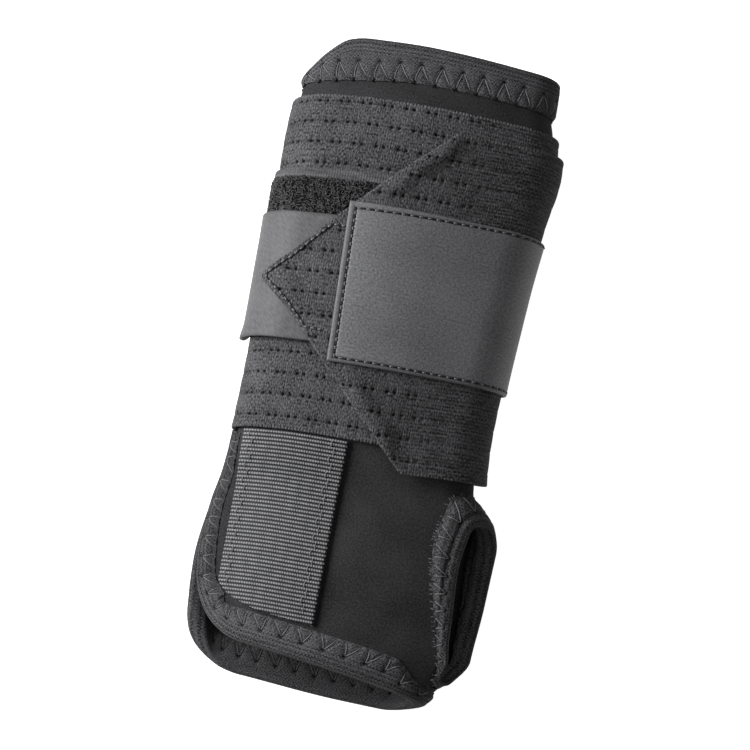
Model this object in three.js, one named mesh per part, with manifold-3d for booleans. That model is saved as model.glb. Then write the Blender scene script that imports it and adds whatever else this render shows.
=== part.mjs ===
// A sliding wrist guard: a neoprene wrap with a thumb hole and bound edges, closed by a wide elastic strap.
// Millimetres, +Z up. The guard lies on its back: +Y runs up the forearm, +X to the thumb, +Z to its face.
//
// Everything is placed on the wrap's outer face by three numbers: around, the distance over the face from
// the fold at the thumb side (positive over the front, negative over the back), y along the arm, and a height
// above the face.

import * as THREE from 'three';
import { mergeVertices } from 'three/addons/utils/BufferGeometryUtils.js';
import Module from 'manifold-3d';

const wasm = await Module();
wasm.setup();

// Where the middle of the finished guard lies in the drawing
const MIDDLE = { x: 2.645, y: 1.1 };

// Thickness of each layer, and the clearance between layers
const WALL = 3;
const TAPE = 1;
const ELASTIC = 1.6;
const LOOP_PILE = 1;
const HOOK_SHEET = 1;
const RUBBER = 1;
const WEBBING = 1.3;
const GAP = 0.35;
const TAPE_GAP = 0.5;

// Heights at which the layers start above the wrap's face, each lying on the one before
const FIRST_TURN = GAP;
const SECOND_TURN = FIRST_TURN + ELASTIC + GAP;
const ON_LOOP = SECOND_TURN + LOOP_PILE + GAP;
const ON_HOOK = ON_LOOP + HOOK_SHEET + GAP;
const LIFT = FIRST_TURN + ELASTIC;

// Cross-sections of the wrap's outer face from the forearm to the hand. left and right are its outermost
// points, and each section is a flat back, two round sides and one wide arc for the crown.
const SECTIONS = [
  { y: 100, left: -35, right: 37.2, leftRadius: 10, rightRadius: 9.5, crownRadius: 120 },
  { y: 89, left: -36, right: 37.4, leftRadius: 11.5, rightRadius: 11, crownRadius: 105 },
  { y: 79, left: -37.6, right: 39.6, leftRadius: 12.6, rightRadius: 12.6, crownRadius: 95 },
  { y: 68, left: -37.9, right: 40.3, leftRadius: 12.95, rightRadius: 12.95, crownRadius: 93 },
  { y: 54, left: -37.4, right: 38.5, leftRadius: 13.2, rightRadius: 13.2, crownRadius: 91 },
  { y: 30, left: -36.3, right: 36.4, leftRadius: 13.5, rightRadius: 13.5, crownRadius: 90 },
  { y: -10, left: -35.4, right: 35, leftRadius: 12.8, rightRadius: 13.5, crownRadius: 90 },
  { y: -29, left: -35.7, right: 36.6, leftRadius: 12, rightRadius: 13, crownRadius: 90 },
  { y: -37, left: -36.4, right: 42.6, leftRadius: 10.5, rightRadius: 13, crownRadius: 90 },
  { y: -45, left: -37.8, right: 45.5, leftRadius: 9.5, rightRadius: 13, crownRadius: 90 },
  { y: -62, left: -39.3, right: 46.6, leftRadius: 8.5, rightRadius: 13, crownRadius: 90 },
  { y: -77, left: -38.2, right: 45.2, leftRadius: 8, rightRadius: 12, crownRadius: 90 },
  { y: -86, left: -36.8, right: 37.8, leftRadius: 8, rightRadius: 11, crownRadius: 90 },
  { y: -97, left: -35, right: 29.5, leftRadius: 8, rightRadius: 9.5, crownRadius: 90 },
];

// The wrap's two end rims, where share runs from -1 at the back's open edge to 1 at the front's
const FOREARM_RIM = [
  { share: -1, y: 95.2 },
  { share: -0.4, y: 95.9 },
  { share: 0, y: 97 },
  { share: 0.15, y: 96.5 },
  { share: 0.5, y: 96.9 },
  { share: 0.66, y: 96.5 },
  { share: 0.72, y: 96.3 },
  { share: 0.775, y: 95.2 },
  { share: 0.83, y: 90.8 },
  { share: 0.885, y: 85.8 },
  { share: 0.95, y: 83.2 },
  { share: 1, y: 82 },
];
const HAND_RIM = [
  { share: -1, y: -93.3 },
  { share: -0.5, y: -94.7 },
  { share: -0.25, y: -94.8 },
  { share: 0, y: -92 },
  { share: 0.25, y: -88.6 },
  { share: 0.5, y: -86.2 },
  { share: 0.75, y: -84.4 },
  { share: 1, y: -83 },
];

// How far the rounding of the flaps' corners reaches along the arm and across it, at either end
const FOREARM_CORNER = [
  { share: -0.5, along: 15, across: 15 },
  { share: 0.5, along: 4.5, across: 0.6 },
];
const HAND_CORNER = [
  { share: -0.5, along: 23, across: 23 },
  { share: 0.5, along: 15.5, across: 15.5 },
];

// How far each flap's open edge stops short of the leftmost line
const FLAP_EDGES = [
  { y: 96, front: -5, back: 12 },
  { y: 79, front: -5, back: 12 },
  { y: 40, front: 2.4, back: 2.4 },
  { y: -26, front: 2.4, back: 2.4 },
  { y: -45, front: 2.6, back: 1.4 },
  { y: -62, front: 5, back: -0.4 },
  { y: -75, front: 6.8, back: -1.8 },
  { y: -96, front: 8, back: -2.4 },
];

// The oval thumb hole
const THUMB = { around: 6.2, y: -61, halfWidth: 12.6, halfLength: 24.2, roundness: 2.3, lean: 0.08 };

// Width of the tape along each rim, along the open sides and at the strap. The forearm's tape runs straight
// on where its rim falls away, and the tapes of the hand's rim and the thumb hole share the web between them.
const TAPE_WIDTH = { hand: 8.6, thumb: 8, side: 5.6, easeOver: 16 };
const TAPE_AT_STRAP = { forearm: 1.9, hand: 4.4 };
const FOREARM_TAPE = [
  { share: -1, width: 11.6 },
  { share: 0.5, width: 11.6 },
  { share: 0.66, width: 11 },
  { share: 0.72, width: 10.4 },
  { share: 0.775, width: 8.8 },
  { share: 0.83, width: 5.6 },
  { share: 0.885, width: 3.4 },
  { share: 1, width: 1.7 },
];
const WEB_SHARE = { hand: 0.62, thumb: 0.38 };

// The strap winds round the guard by turn: 0 at the fold, 1 at the open side, 2 at the fold again.
const STRAP = { width: 100, fromTurn: -0.11, toTurn: 2.864 };
const STRAP_POINT = { highFrom: 2.4, lowFrom: 2.35, rise: 1.5, halfWidth: 2.5 };
const STRAP_MIDDLE = [
  { turn: -0.11, y: 29.9 },
  { turn: 0.05, y: 29.6 },
  { turn: 0.45, y: 28.7 },
  { turn: 0.7, y: 28.2 },
  { turn: 0.95, y: 26.4 },
  { turn: 1.1, y: 25.5 },
  { turn: 2, y: 24 },
  { turn: 2.4, y: 21.4 },
  { turn: 2.87, y: 19.25 },
];
const OVER_START = { fromTurn: 1.8, toTurn: 1.88 };
const OVER_HOOK = { fromTurn: 2.2, toTurn: 2.6 };

// Pieces that lie on the strap, by turn and by their edges along the arm. climb is how far an edge rises in a
// turn towards the fold, and low and high are its places at turn 1, or at turn 3 for the patch.
const LOOP_TAPE = { fromTurn: 0.5, toTurn: 1.14, low: 4.2, high: 53.5, climb: 5 };
const HOOK_TAB = { fromTurn: 0.62, toTurn: 1.08, low: 2.75, high: 40.15, climb: 4.2, corner: 5 };
const FACE_PATCH = { fromTurn: 1.965, toTurn: 2.648, low: -2.3, high: 44.3, climb: 3.5, lean: 0.05 };

// The webbing strip on the front of the hand, by its edges across the guard
const WEBBING_STRIP = { leftTop: -31.9, rightTop: -2.1, leftEnd: -30.5, rightEnd: -1.3, endY: -80 };

// How far the side tapes stop from the strap's edges
const TAPE_CLEAR = { forearm: 1.3, hand: 0.75 };

// How finely the faces are divided: steps around the front and the back up to each share of the way from the
// fold, and rows across the wrap between its rounded ends
const FRONT_STEPS = [
  { upTo: 0.28, steps: 6 },
  { upTo: 0.7, steps: 4 },
  { upTo: 1, steps: 6 },
];
const BACK_STEPS = [
  { upTo: 0.28, steps: 6 },
  { upTo: 0.7, steps: 2 },
  { upTo: 1, steps: 6 },
];
const WRAP_ROWS = [72, 60, 46, 30, 10, -8, -20, -27, -31, -34, -37, -42, -50];
const FOREARM_ROWS = 1;
const HAND_ROWS = 3;
const CORNER_STEPS = 6;
const EDGE_STEP = 7;
const STRAP_COLUMNS = 8;
const TAB_COLUMNS = 4;
const WEBBING_GRID = 8;
const THUMB_STEPS = 38;
const NOSE_STEPS = 5;
const TURN_STEPS = 3;
const FINE_STEPS = 160;
const HALVINGS = 30;
const MERGE_WITHIN = 1e-4;

const mix = (from, to, share) => from + (to - from) * share;
const clamp = (value) => Math.min(Math.max(value, 0), 1);

// A share from 0 to 1 that eases in and out between two values
function ease(value, from, to) {
  const share = clamp((value - from) / (to - from));
  return share * share * (3 - 2 * share);
}

// A reader of a table, which joins its rows by smooth curves with no overshoot
function smoothRows(table, key) {
  const rows = [...table].sort((a, b) => a[key] - b[key]);
  const names = Object.keys(rows[0]).filter((name) => name !== key);
  const steps = rows.slice(1).map((row, i) => row[key] - rows[i][key]);
  const slopes = (name) => steps.map((step, i) => (rows[i + 1][name] - rows[i][name]) / step);
  const tangents = (name) => {
    const slope = slopes(name);
    return rows.map((_, i) => {
      const before = slope[Math.max(i - 1, 0)];
      const after = slope[Math.min(i, slope.length - 1)];
      return before * after <= 0 ? 0 : (2 * before * after) / (before + after);
    });
  };
  const tangent = Object.fromEntries(names.map((name) => [name, tangents(name)]));
  return (at) => {
    const found = rows.findLastIndex((row) => row[key] <= at);
    const i = Math.min(Math.max(found, 0), steps.length - 1);
    const t = clamp((at - rows[i][key]) / steps[i]);
    const value = (name) => {
      const bend = (1 - t) * tangent[name][i] - t * tangent[name][i + 1];
      const jump = rows[i + 1][name] - rows[i][name];
      const straight = rows[i][name] + jump * t;
      return straight + t * (1 - t) * (steps[i] * bend - jump * (1 - 2 * t));
    };
    return Object.fromEntries(names.map((name) => [name, value(name)]));
  };
}

const sectionRow = smoothRows(SECTIONS, 'y');
const flapEdges = smoothRows(FLAP_EDGES, 'y');
const forearmRim = smoothRows(FOREARM_RIM, 'share');
const handRim = smoothRows(HAND_RIM, 'share');
const forearmCorner = smoothRows(FOREARM_CORNER, 'share');
const handCorner = smoothRows(HAND_CORNER, 'share');
const forearmTape = smoothRows(FOREARM_TAPE, 'share');
const strapRow = smoothRows(STRAP_MIDDLE, 'turn');

// The arcs of one cross-section, with the lengths of its front and back from the fold to the leftmost point
function sectionAt(y) {
  const row = sectionRow(y);
  const right = { x: row.right - row.rightRadius, z: LIFT + row.rightRadius, r: row.rightRadius };
  const left = { x: row.left + row.leftRadius, z: LIFT + row.leftRadius, r: row.leftRadius };
  const reachLeft = row.crownRadius - left.r;
  const reachRight = row.crownRadius - right.r;
  const dx = right.x - left.x;
  const dz = right.z - left.z;
  const span = Math.hypot(dx, dz);
  const along = (reachLeft ** 2 - reachRight ** 2 + span ** 2) / (2 * span);
  const drop = Math.sqrt(reachLeft ** 2 - along ** 2);
  const crown = {
    x: left.x + (along * dx + drop * dz) / span,
    z: left.z + (along * dz - drop * dx) / span,
    r: row.crownRadius,
  };
  const rightTurn = Math.atan2(right.z - crown.z, right.x - crown.x);
  const leftTurn = Math.atan2(left.z - crown.z, left.x - crown.x);
  const lengths = {
    rightFront: right.r * rightTurn,
    crown: crown.r * (leftTurn - rightTurn),
    leftFront: left.r * (Math.PI - leftTurn),
    rightBack: (right.r * Math.PI) / 2,
    flat: dx,
    leftBack: (left.r * Math.PI) / 2,
  };
  const front = lengths.rightFront + lengths.crown + lengths.leftFront;
  const back = lengths.rightBack + lengths.flat + lengths.leftBack;
  return { right, left, crown, rightTurn, leftTurn, lengths, front, back };
}

// A point of the guard: a distance around the wrap's face, y along the arm and a height above the face
function place(around, y, height) {
  const section = sectionAt(y);
  const { right, left, crown, rightTurn, leftTurn, lengths } = section;
  const onArc = (arc, angle) => {
    const radius = arc.r + height;
    return new THREE.Vector3(arc.x + radius * Math.cos(angle), y, arc.z + radius * Math.sin(angle));
  };
  const whole = section.front + section.back;
  const from = around > section.front ? around - whole : around < -section.back ? around + whole : around;
  if (from >= 0) {
    const pastRight = from - lengths.rightFront;
    const pastCrown = pastRight - lengths.crown;
    if (pastRight <= 0) return onArc(right, from / right.r);
    if (pastCrown <= 0) return onArc(crown, rightTurn + pastRight / crown.r);
    return onArc(left, leftTurn + pastCrown / left.r);
  }
  const pastRight = -from - lengths.rightBack;
  const pastFlat = pastRight - lengths.flat;
  if (pastRight <= 0) return onArc(right, from / right.r);
  if (pastFlat <= 0) return new THREE.Vector3(right.x - pastRight, y, LIFT - height);
  return onArc(left, -Math.PI / 2 - pastFlat / left.r);
}

// The distance around at a turn of the strap
function aroundAtTurn(turn, y) {
  const section = sectionAt(y);
  const share = turn > 1 ? turn - 2 : turn;
  return share * (share > 0 ? section.front : section.back);
}

// The distance around at which the front of the wrap has a given x
function aroundAtX(x, y) {
  let low = 0;
  let high = sectionAt(y).front;
  for (let i = 0; i < HALVINGS; i++) {
    const middle = (low + high) / 2;
    if (place(middle, y, 0).x > x) low = middle;
    else high = middle;
  }
  return (low + high) / 2;
}

// A closed geometry from points and triangles, turned so that its faces point out
function closedGeometry(points, triangles) {
  const volume = triangles.reduce((sum, [a, b, c]) => {
    const normal = new THREE.Vector3().crossVectors(points[b], points[c]);
    return sum + points[a].dot(normal);
  }, 0);
  const facing = volume < 0 ? triangles.map(([a, b, c]) => [a, c, b]) : triangles;
  const geometry = new THREE.BufferGeometry().setFromPoints(points);
  geometry.setIndex(facing.flat());
  return geometry;
}

// A sheet with thickness: two grids of points of one size, joined round their border
function sheetGeometry(outer, inner) {
  const rows = outer.length;
  const columns = outer[0].length;
  const points = [...outer.flat(), ...inner.flat()];
  const at = (row, column) => row * columns + column;
  const under = rows * columns;
  const triangles = [];
  const quad = (a, b, c, d) => triangles.push([a, b, c], [a, c, d]);
  for (let i = 0; i + 1 < rows; i++) {
    for (let j = 0; j + 1 < columns; j++) {
      const corners = [at(i, j), at(i, j + 1), at(i + 1, j + 1), at(i + 1, j)];
      quad(...corners);
      const [a, b, c, d] = corners.map((corner) => corner + under);
      triangles.push([a, c, b], [a, d, c]);
    }
  }
  const border = [];
  for (let j = 0; j < columns - 1; j++) border.push(at(0, j));
  for (let i = 0; i < rows - 1; i++) border.push(at(i, columns - 1));
  for (let j = columns - 1; j > 0; j--) border.push(at(rows - 1, j));
  for (let i = rows - 1; i > 0; i--) border.push(at(i, 0));
  border.forEach((a, i) => {
    const b = border[(i + 1) % border.length];
    quad(b, a, a + under, b + under);
  });
  return closedGeometry(points, triangles);
}

// A solid through rings of points, either closed on itself or capped by the rings' flat outline
function ringGeometry(rings, outline, closed) {
  const size = outline.length;
  const points = rings.flat();
  const triangles = [];
  const stretches = closed ? rings.length : rings.length - 1;
  for (let i = 0; i < stretches; i++) {
    const here = i * size;
    const next = ((i + 1) % rings.length) * size;
    for (let j = 0; j < size; j++) {
      const k = (j + 1) % size;
      triangles.push([here + j, here + k, next + k], [here + j, next + k, next + j]);
    }
  }
  if (!closed) {
    const cap = THREE.ShapeUtils.triangulateShape(outline, []);
    const clockwise = THREE.ShapeUtils.isClockWise(outline);
    const last = (rings.length - 1) * size;
    for (const [a, b, c] of cap) {
      const [p, q] = clockwise ? [b, c] : [c, b];
      triangles.push([a, p, q], [last + a, last + q, last + p]);
    }
  }
  return closedGeometry(points, triangles);
}

function toManifold(geometry) {
  const merged = mergeVertices(geometry, MERGE_WITHIN);
  const vertProperties = new Float32Array(merged.attributes.position.array);
  const triVerts = new Uint32Array(merged.index.array);
  return new wasm.Manifold(new wasm.Mesh({ numProp: 3, vertProperties, triVerts }));
}

function fromManifold(solid) {
  const { vertProperties, triVerts } = solid.getMesh();
  const geometry = new THREE.BufferGeometry();
  geometry.setAttribute('position', new THREE.BufferAttribute(vertProperties, 3));
  geometry.setIndex(new THREE.BufferAttribute(triVerts, 1));
  return geometry;
}

// How far a flap's side edge lies from the fold, on the front (side 1) or the back (side -1)
function flapReach(side, y) {
  const section = sectionAt(y);
  const short = flapEdges(y);
  return side > 0 ? section.front - short.front : section.back - short.back;
}

// The rows of a rounded end, as shares: the distance from the rim, and how far the edge is tucked in there
const CORNER_ROWS = Array.from({ length: CORNER_STEPS + 1 }, (_, k) => {
  const turn = (k / CORNER_STEPS) * (Math.PI / 2);
  return { distance: 1 - Math.cos(turn), tuck: 1 - Math.sin(turn) };
});
const RIM_ROW = CORNER_ROWS[0];

// A place on the wrap at one share of a row's width
function wrapPlace(share, y, tuck) {
  return { around: share * (flapReach(Math.sign(share) || 1, y) - tuck), y };
}

function forearmPlace(share, row) {
  const { along, across } = forearmCorner(share);
  return wrapPlace(share, forearmRim(share).y - along * row.distance, across * row.tuck);
}

function handPlace(share, row) {
  const { along, across } = handCorner(share);
  return wrapPlace(share, handRim(share).y + along * row.distance, across * row.tuck);
}

// Shares of the way from the fold to the open edge, from 0 to 1
function sharesUpTo(table) {
  const shares = [0];
  for (const { upTo, steps } of table) {
    const from = shares.at(-1);
    for (let k = 1; k <= steps; k++) shares.push(mix(from, upTo, k / steps));
  }
  return shares;
}

// Shares across the wrap from the front's open edge to the back's
const FRONT_SHARES = sharesUpTo(FRONT_STEPS);
const BACK_SHARES = sharesUpTo(BACK_STEPS).map((share) => -share);
const SHARES = [...FRONT_SHARES.toReversed(), ...BACK_SHARES.slice(1)];

// The same with a step between, for the tapes, where the front's rim falls away
const FALLS_FROM = 0.7;
const TAPE_SHARES = SHARES.flatMap((share, i) =>
  i > 0 && share >= FALLS_FROM ? [mix(SHARES[i - 1], share, 0.5), share] : [share],
);

// The wrap's places as rows from the forearm rim to the hand rim
function wrapRows() {
  const forearm = CORNER_ROWS.map((row) => SHARES.map((share) => forearmPlace(share, row)));
  const hand = CORNER_ROWS.map((row) => SHARES.map((share) => handPlace(share, row)));
  const middle = WRAP_ROWS.map((y) => SHARES.map((share) => wrapPlace(share, y, 0)));
  const cornerRow = CORNER_ROWS.at(-1);
  const between = (count, from, to) =>
    Array.from({ length: count }, (_, k) =>
      SHARES.map((share) => wrapPlace(share, mix(from(share), to(share), (k + 1) / (count + 1)), 0)),
    );
  const forearmEnd = (share) => forearmPlace(share, cornerRow).y;
  const handEnd = (share) => handPlace(share, cornerRow).y;
  const towardsForearm = between(FOREARM_ROWS, forearmEnd, () => WRAP_ROWS[0]);
  const towardsHand = between(HAND_ROWS, () => WRAP_ROWS.at(-1), handEnd);
  return [...forearm, ...towardsForearm, ...middle, ...towardsHand, ...hand.reverse()];
}

// The oval of the thumb hole
function thumbOval(steps) {
  return Array.from({ length: steps }, (_, k) => {
    const turn = (2 * Math.PI * k) / steps;
    const bulge = (value) => Math.sign(value) * Math.abs(value) ** (2 / THUMB.roundness);
    const up = THUMB.halfLength * bulge(Math.sin(turn));
    const out = THUMB.halfWidth * bulge(Math.cos(turn)) + THUMB.lean * up;
    return { around: THUMB.around + out, y: THUMB.y + up };
  });
}

const thumbEdge = thumbOval(FINE_STEPS);

// A tape's width at a place, no wider than its share of the way to another edge, whose tape it clears
function widthBeside(wide, { around, y }, edge, share) {
  const nearest = Math.min(...edge.map((other) => Math.hypot(other.around - around, other.y - y)));
  return Math.min(wide, share * nearest - GAP);
}

// The wrap: a sheet with the oval hole cut by a plug that stands well clear of both its faces
function wrapGeometry() {
  const rows = wrapRows();
  const face = (height) => rows.map((row) => row.map(({ around, y }) => place(around, y, height)));
  const wrap = toManifold(sheetGeometry(face(0), face(-WALL)));
  const oval = thumbOval(THUMB_STEPS);
  const outline = oval.map(({ around, y }) => new THREE.Vector2(around, y));
  const ring = (height) => oval.map(({ around, y }) => place(around, y, height));
  const [inside, outside] = [-2 * WALL, 4 * WALL];
  const plug = toManifold(ringGeometry([ring(inside), ring(outside)], outline, false));
  return fromManifold(wrap.subtract(plug));
}

// The folded tape's profile over an edge: out runs past the edge, and height is above the wrap's face
function tapeProfile(flange) {
  const nose = TAPE_GAP + TAPE;
  const fold = Array.from({ length: NOSE_STEPS + 1 }, (_, k) => {
    const turn = Math.PI * (1 / 2 - k / NOSE_STEPS);
    return [nose * Math.cos(turn), (WALL / 2 + nose) * Math.sin(turn) - WALL / 2];
  });
  const inwards = (height) => [-flange / 2, -flange].map((out) => [out, height]);
  const outwards = (height) => inwards(height).reverse();
  return [
    ...outwards(nose),
    ...fold,
    ...inwards(-WALL - nose),
    ...outwards(-WALL - TAPE_GAP),
    [TAPE_GAP, -WALL - TAPE_GAP],
    [TAPE_GAP, TAPE_GAP],
    ...inwards(TAPE_GAP),
  ];
}

// The step in around and y that leads over the wrap's face at right angles to a path
function acrossPath({ around, y }, along) {
  const step = 0.05;
  const slope = (da, dy) =>
    place(around + da, y + dy, 0).sub(place(around - da, y - dy, 0)).divideScalar(2 * step);
  const overAround = slope(step, 0);
  const overY = slope(0, step);
  const onFace = (da, dy) => overAround.clone().multiplyScalar(da).addScaledVector(overY, dy);
  const path = onFace(along.around, along.y);
  const across = { around: path.dot(overY), y: -path.dot(overAround) };
  const length = onFace(across.around, across.y).length();
  return { around: across.around / length, y: across.y / length };
}

// Folded tape along places on the wrap. inside tells which side of the path the wrap lies on. The tape turns
// gently at a bend: its direction is taken over a few steps of the path to either side.
function tapeGeometry(path, inside, closed, profile = tapeProfile) {
  const count = path.length;
  const near = (i) => (closed ? path[(i + count) % count] : path[Math.min(Math.max(i, 0), count - 1)]);
  const ahead = Array.from({ length: TURN_STEPS }, (_, k) => k + 1);
  const lead = (i, name) => ahead.reduce((sum, k) => sum + near(i + k)[name] - near(i - k)[name], 0);
  const rings = path.map((at, i) => {
    const out = acrossPath(at, { around: lead(i, 'around'), y: lead(i, 'y') });
    return profile(at.flange).map(([reach, height]) => {
      const step = reach * inside;
      return place(at.around + out.around * step, at.y + out.y * step, height);
    });
  });
  const outline = profile(TAPE_WIDTH.hand).map(([reach, height]) => new THREE.Vector2(reach, height));
  return ringGeometry(rings, outline, closed);
}

// The path round one end of the wrap, from the strap's edge on the front to its edge on the back. wide gives
// the tape's width at a share of the rim.
function endPath(endPlace, strapEdge, wide, atStrap) {
  const corner = CORNER_ROWS.slice(1).reverse();
  const side = (share) => {
    const end = endPlace(share, corner[0]).y;
    const steps = Math.ceil(Math.abs(end - strapEdge) / EDGE_STEP);
    const straight = Array.from({ length: steps }, (_, k) => ({
      ...wrapPlace(share, mix(strapEdge, end, k / steps), 0),
      cornerShare: 0,
    }));
    const round = corner.map((row) => ({ ...endPlace(share, row), cornerShare: 1 - row.distance }));
    return [...straight, ...round].map(({ around, y, cornerShare }) => {
      const fromStrap = ease(Math.abs(y - strapEdge), 0, TAPE_WIDTH.easeOver);
      const beside = mix(atStrap, TAPE_WIDTH.side, fromStrap);
      return { around, y, flange: mix(beside, wide(share), cornerShare) };
    });
  };
  const across = TAPE_SHARES.map((share) => {
    const at = endPlace(share, RIM_ROW);
    return { ...at, flange: widthBeside(wide(share), at, thumbEdge, WEB_SHARE.hand) };
  });
  return [...side(1), ...across, ...side(-1).reverse()];
}

// The strap's middle line along the arm at each turn
const strapMiddle = (turn) => strapRow(turn).y;

// The tapes end beside the strap's edges at the wrap's open side
const OPEN_SIDE_TURN = 1;
const strapTop = strapMiddle(OPEN_SIDE_TURN) + STRAP.width / 2 + TAPE_CLEAR.forearm;
const strapLow = strapMiddle(OPEN_SIDE_TURN) - STRAP.width / 2 - TAPE_CLEAR.hand;
const handEdge = Array.from({ length: FINE_STEPS }, (_, k) => handPlace(mix(-1, 1, k / FINE_STEPS), RIM_ROW));
const forearmWidth = (share) => forearmTape(share).width;
const forearmPath = endPath(forearmPlace, strapTop, forearmWidth, TAPE_AT_STRAP.forearm);
const handPath = endPath(handPlace, strapLow, () => TAPE_WIDTH.hand, TAPE_AT_STRAP.hand);
const thumbPath = thumbOval(THUMB_STEPS).map((at) => ({
  ...at,
  flange: widthBeside(TAPE_WIDTH.thumb, at, handEdge, WEB_SHARE.thumb),
}));

// Height of the strap's under face: it climbs over its own start, then over the loop tape and the hook tab
function strapHeight(turn) {
  const overStart = (SECOND_TURN - FIRST_TURN) * ease(turn, OVER_START.fromTurn, OVER_START.toTurn);
  const overHook = (ON_HOOK - SECOND_TURN) * ease(turn, OVER_HOOK.fromTurn, OVER_HOOK.toTurn);
  return FIRST_TURN + overStart + overHook;
}

// A sheet wound with the strap, with its low and high edge at each turn. lean slants its ends.
function windingGeometry({ turns, columns, edges, height, thickness, lean = 0 }) {
  const face = (lift) =>
    turns.map((turn) => {
      const { low, high } = edges(turn);
      return Array.from({ length: columns + 1 }, (_, j) => {
        const y = mix(low, high, j / columns);
        const slant = lean * (y - (low + high) / 2);
        return place(aroundAtTurn(turn, y) + slant, y, height(turn) + lift);
      });
    });
  return sheetGeometry(face(thickness), face(0));
}

// Turns from one to another, at the shares that divide the wrap
function turnsBetween({ fromTurn, toTurn }) {
  const closest = 0.01;
  const marks = [...SHARES, ...SHARES.map((share) => share + 2)].sort((a, b) => a - b);
  const inside = marks.filter((mark) => mark > fromTurn + closest && mark < toTurn - closest);
  return [fromTurn, ...new Set(inside), toTurn];
}

// How far a rounded corner draws an edge in, at a distance from the end
function cornerTuck(distance, radius) {
  const left = Math.max(radius - distance, 0);
  return radius - Math.sqrt(radius ** 2 - left ** 2);
}

// The strap, square at its hidden start and tapered to a blunt point at its end
function strapGeometry() {
  const { highFrom, lowFrom, rise, halfWidth } = STRAP_POINT;
  const edges = (turn) => {
    const taper = (from) => clamp((turn - from) / (STRAP.toTurn - from));
    const low = mix(-STRAP.width / 2, rise - halfWidth, taper(lowFrom));
    const high = mix(STRAP.width / 2, rise + halfWidth, taper(highFrom));
    return { low: strapMiddle(turn) + low, high: strapMiddle(turn) + high };
  };
  const turns = turnsBetween(STRAP);
  return windingGeometry({ turns, columns: STRAP_COLUMNS, edges, height: strapHeight, thickness: ELASTIC });
}

// The edges of a piece that climbs towards the fold, from the open side of its own winding
function climbingEdges({ toTurn, low, high, climb }, turn) {
  const openSide = toTurn > 2 ? OPEN_SIDE_TURN + 2 : OPEN_SIDE_TURN;
  const up = climb * (openSide - turn);
  return { low: low + up, high: high + up };
}

function loopGeometry() {
  return windingGeometry({
    turns: turnsBetween(LOOP_TAPE),
    columns: TAB_COLUMNS,
    edges: (turn) => climbingEdges(LOOP_TAPE, turn),
    height: () => SECOND_TURN,
    thickness: LOOP_PILE,
  });
}

// The hook tab, with rounded corners at the end that wraps the open side
function hookGeometry() {
  const { toTurn, corner } = HOOK_TAB;
  const { front, back } = sectionAt((HOOK_TAB.low + HOOK_TAB.high) / 2);
  const reach = (turn) => (turn < 1 ? turn * front : front + (turn - 1) * back);
  const edges = (turn) => {
    const tuck = cornerTuck(reach(toTurn) - reach(turn), corner);
    const { low, high } = climbingEdges(HOOK_TAB, turn);
    return { low: low + tuck, high: high - tuck };
  };
  return windingGeometry({
    turns: turnsBetween(HOOK_TAB),
    columns: TAB_COLUMNS,
    edges,
    height: () => ON_LOOP,
    thickness: HOOK_SHEET,
  });
}

function patchGeometry() {
  return windingGeometry({
    turns: turnsBetween(FACE_PATCH),
    columns: TAB_COLUMNS,
    edges: (turn) => climbingEdges(FACE_PATCH, turn),
    height: (turn) => strapHeight(turn) + ELASTIC + GAP,
    thickness: RUBBER,
    lean: FACE_PATCH.lean,
  });
}

// The strap's hand-side edge over the front of the wrap
function strapEdgeAtX(x) {
  const low = strapMiddle(0) - STRAP.width / 2;
  const turn = aroundAtX(x, low) / sectionAt(low).front;
  return strapMiddle(turn) - STRAP.width / 2 - GAP;
}

// The webbing lies on the front of the wrap, from the strap's edge to the tape at the hand, which it clears
function webbingGeometry() {
  const { leftTop, rightTop, leftEnd, rightEnd, endY } = WEBBING_STRIP;
  const shares = Array.from({ length: WEBBING_GRID + 1 }, (_, k) => k / WEBBING_GRID);
  const face = (height) =>
    shares.map((down) =>
      shares.map((across) => {
        const x = mix(mix(leftTop, rightTop, across), mix(leftEnd, rightEnd, across), down);
        const y = mix(strapEdgeAtX(x), endY, down);
        return place(aroundAtX(x, y), y, height);
      }),
    );
  const strip = toManifold(sheetGeometry(face(TAPE_GAP + WEBBING), face(TAPE_GAP)));
  const [under, above] = [0, WEBBING + 2 * TAPE_GAP];
  const room = (flange) => [
    [-flange - TAPE_GAP, under],
    [-flange - TAPE_GAP, above],
    [WALL, above],
    [WALL, under],
  ];
  return fromManifold(strip.subtract(toManifold(tapeGeometry(handPath, -1, false, room))));
}

const FINISHES = {
  neoprene: { color: 0x2b2c30, roughness: 0.85 },
  tape: { color: 0x3a3b3f, roughness: 0.9 },
  elastic: { color: 0x1d1d20, roughness: 0.9 },
  pile: { color: 0x26272a, roughness: 1 },
  hook: { color: 0x6c6d70, roughness: 0.6 },
  rubber: { color: 0x55565a, roughness: 0.55 },
  webbing: { color: 0x2a2a2d, roughness: 0.75 },
};

function makePiece(name, geometry, finish) {
  geometry.computeVertexNormals();
  const material = new THREE.MeshStandardMaterial({ ...FINISHES[finish], metalness: 0 });
  const mesh = new THREE.Mesh(geometry, material);
  mesh.name = name;
  return mesh;
}

const guard = new THREE.Group();
guard.add(makePiece('wrap_body', wrapGeometry(), 'neoprene'));
guard.add(makePiece('top_binding', tapeGeometry(forearmPath, 1, false), 'tape'));
guard.add(makePiece('hand_binding', tapeGeometry(handPath, -1, false), 'tape'));
guard.add(makePiece('thumb_binding', tapeGeometry(thumbPath, -1, true), 'tape'));
guard.add(makePiece('elastic_strap', strapGeometry(), 'elastic'));
guard.add(makePiece('loop_tape', loopGeometry(), 'pile'));
guard.add(makePiece('hook_tab', hookGeometry(), 'hook'));
guard.add(makePiece('face_patch', patchGeometry(), 'rubber'));
guard.add(makePiece('webbing_strip', webbingGeometry(), 'webbing'));
guard.position.set(-MIDDLE.x, -MIDDLE.y, 0);

export default guard;
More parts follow.
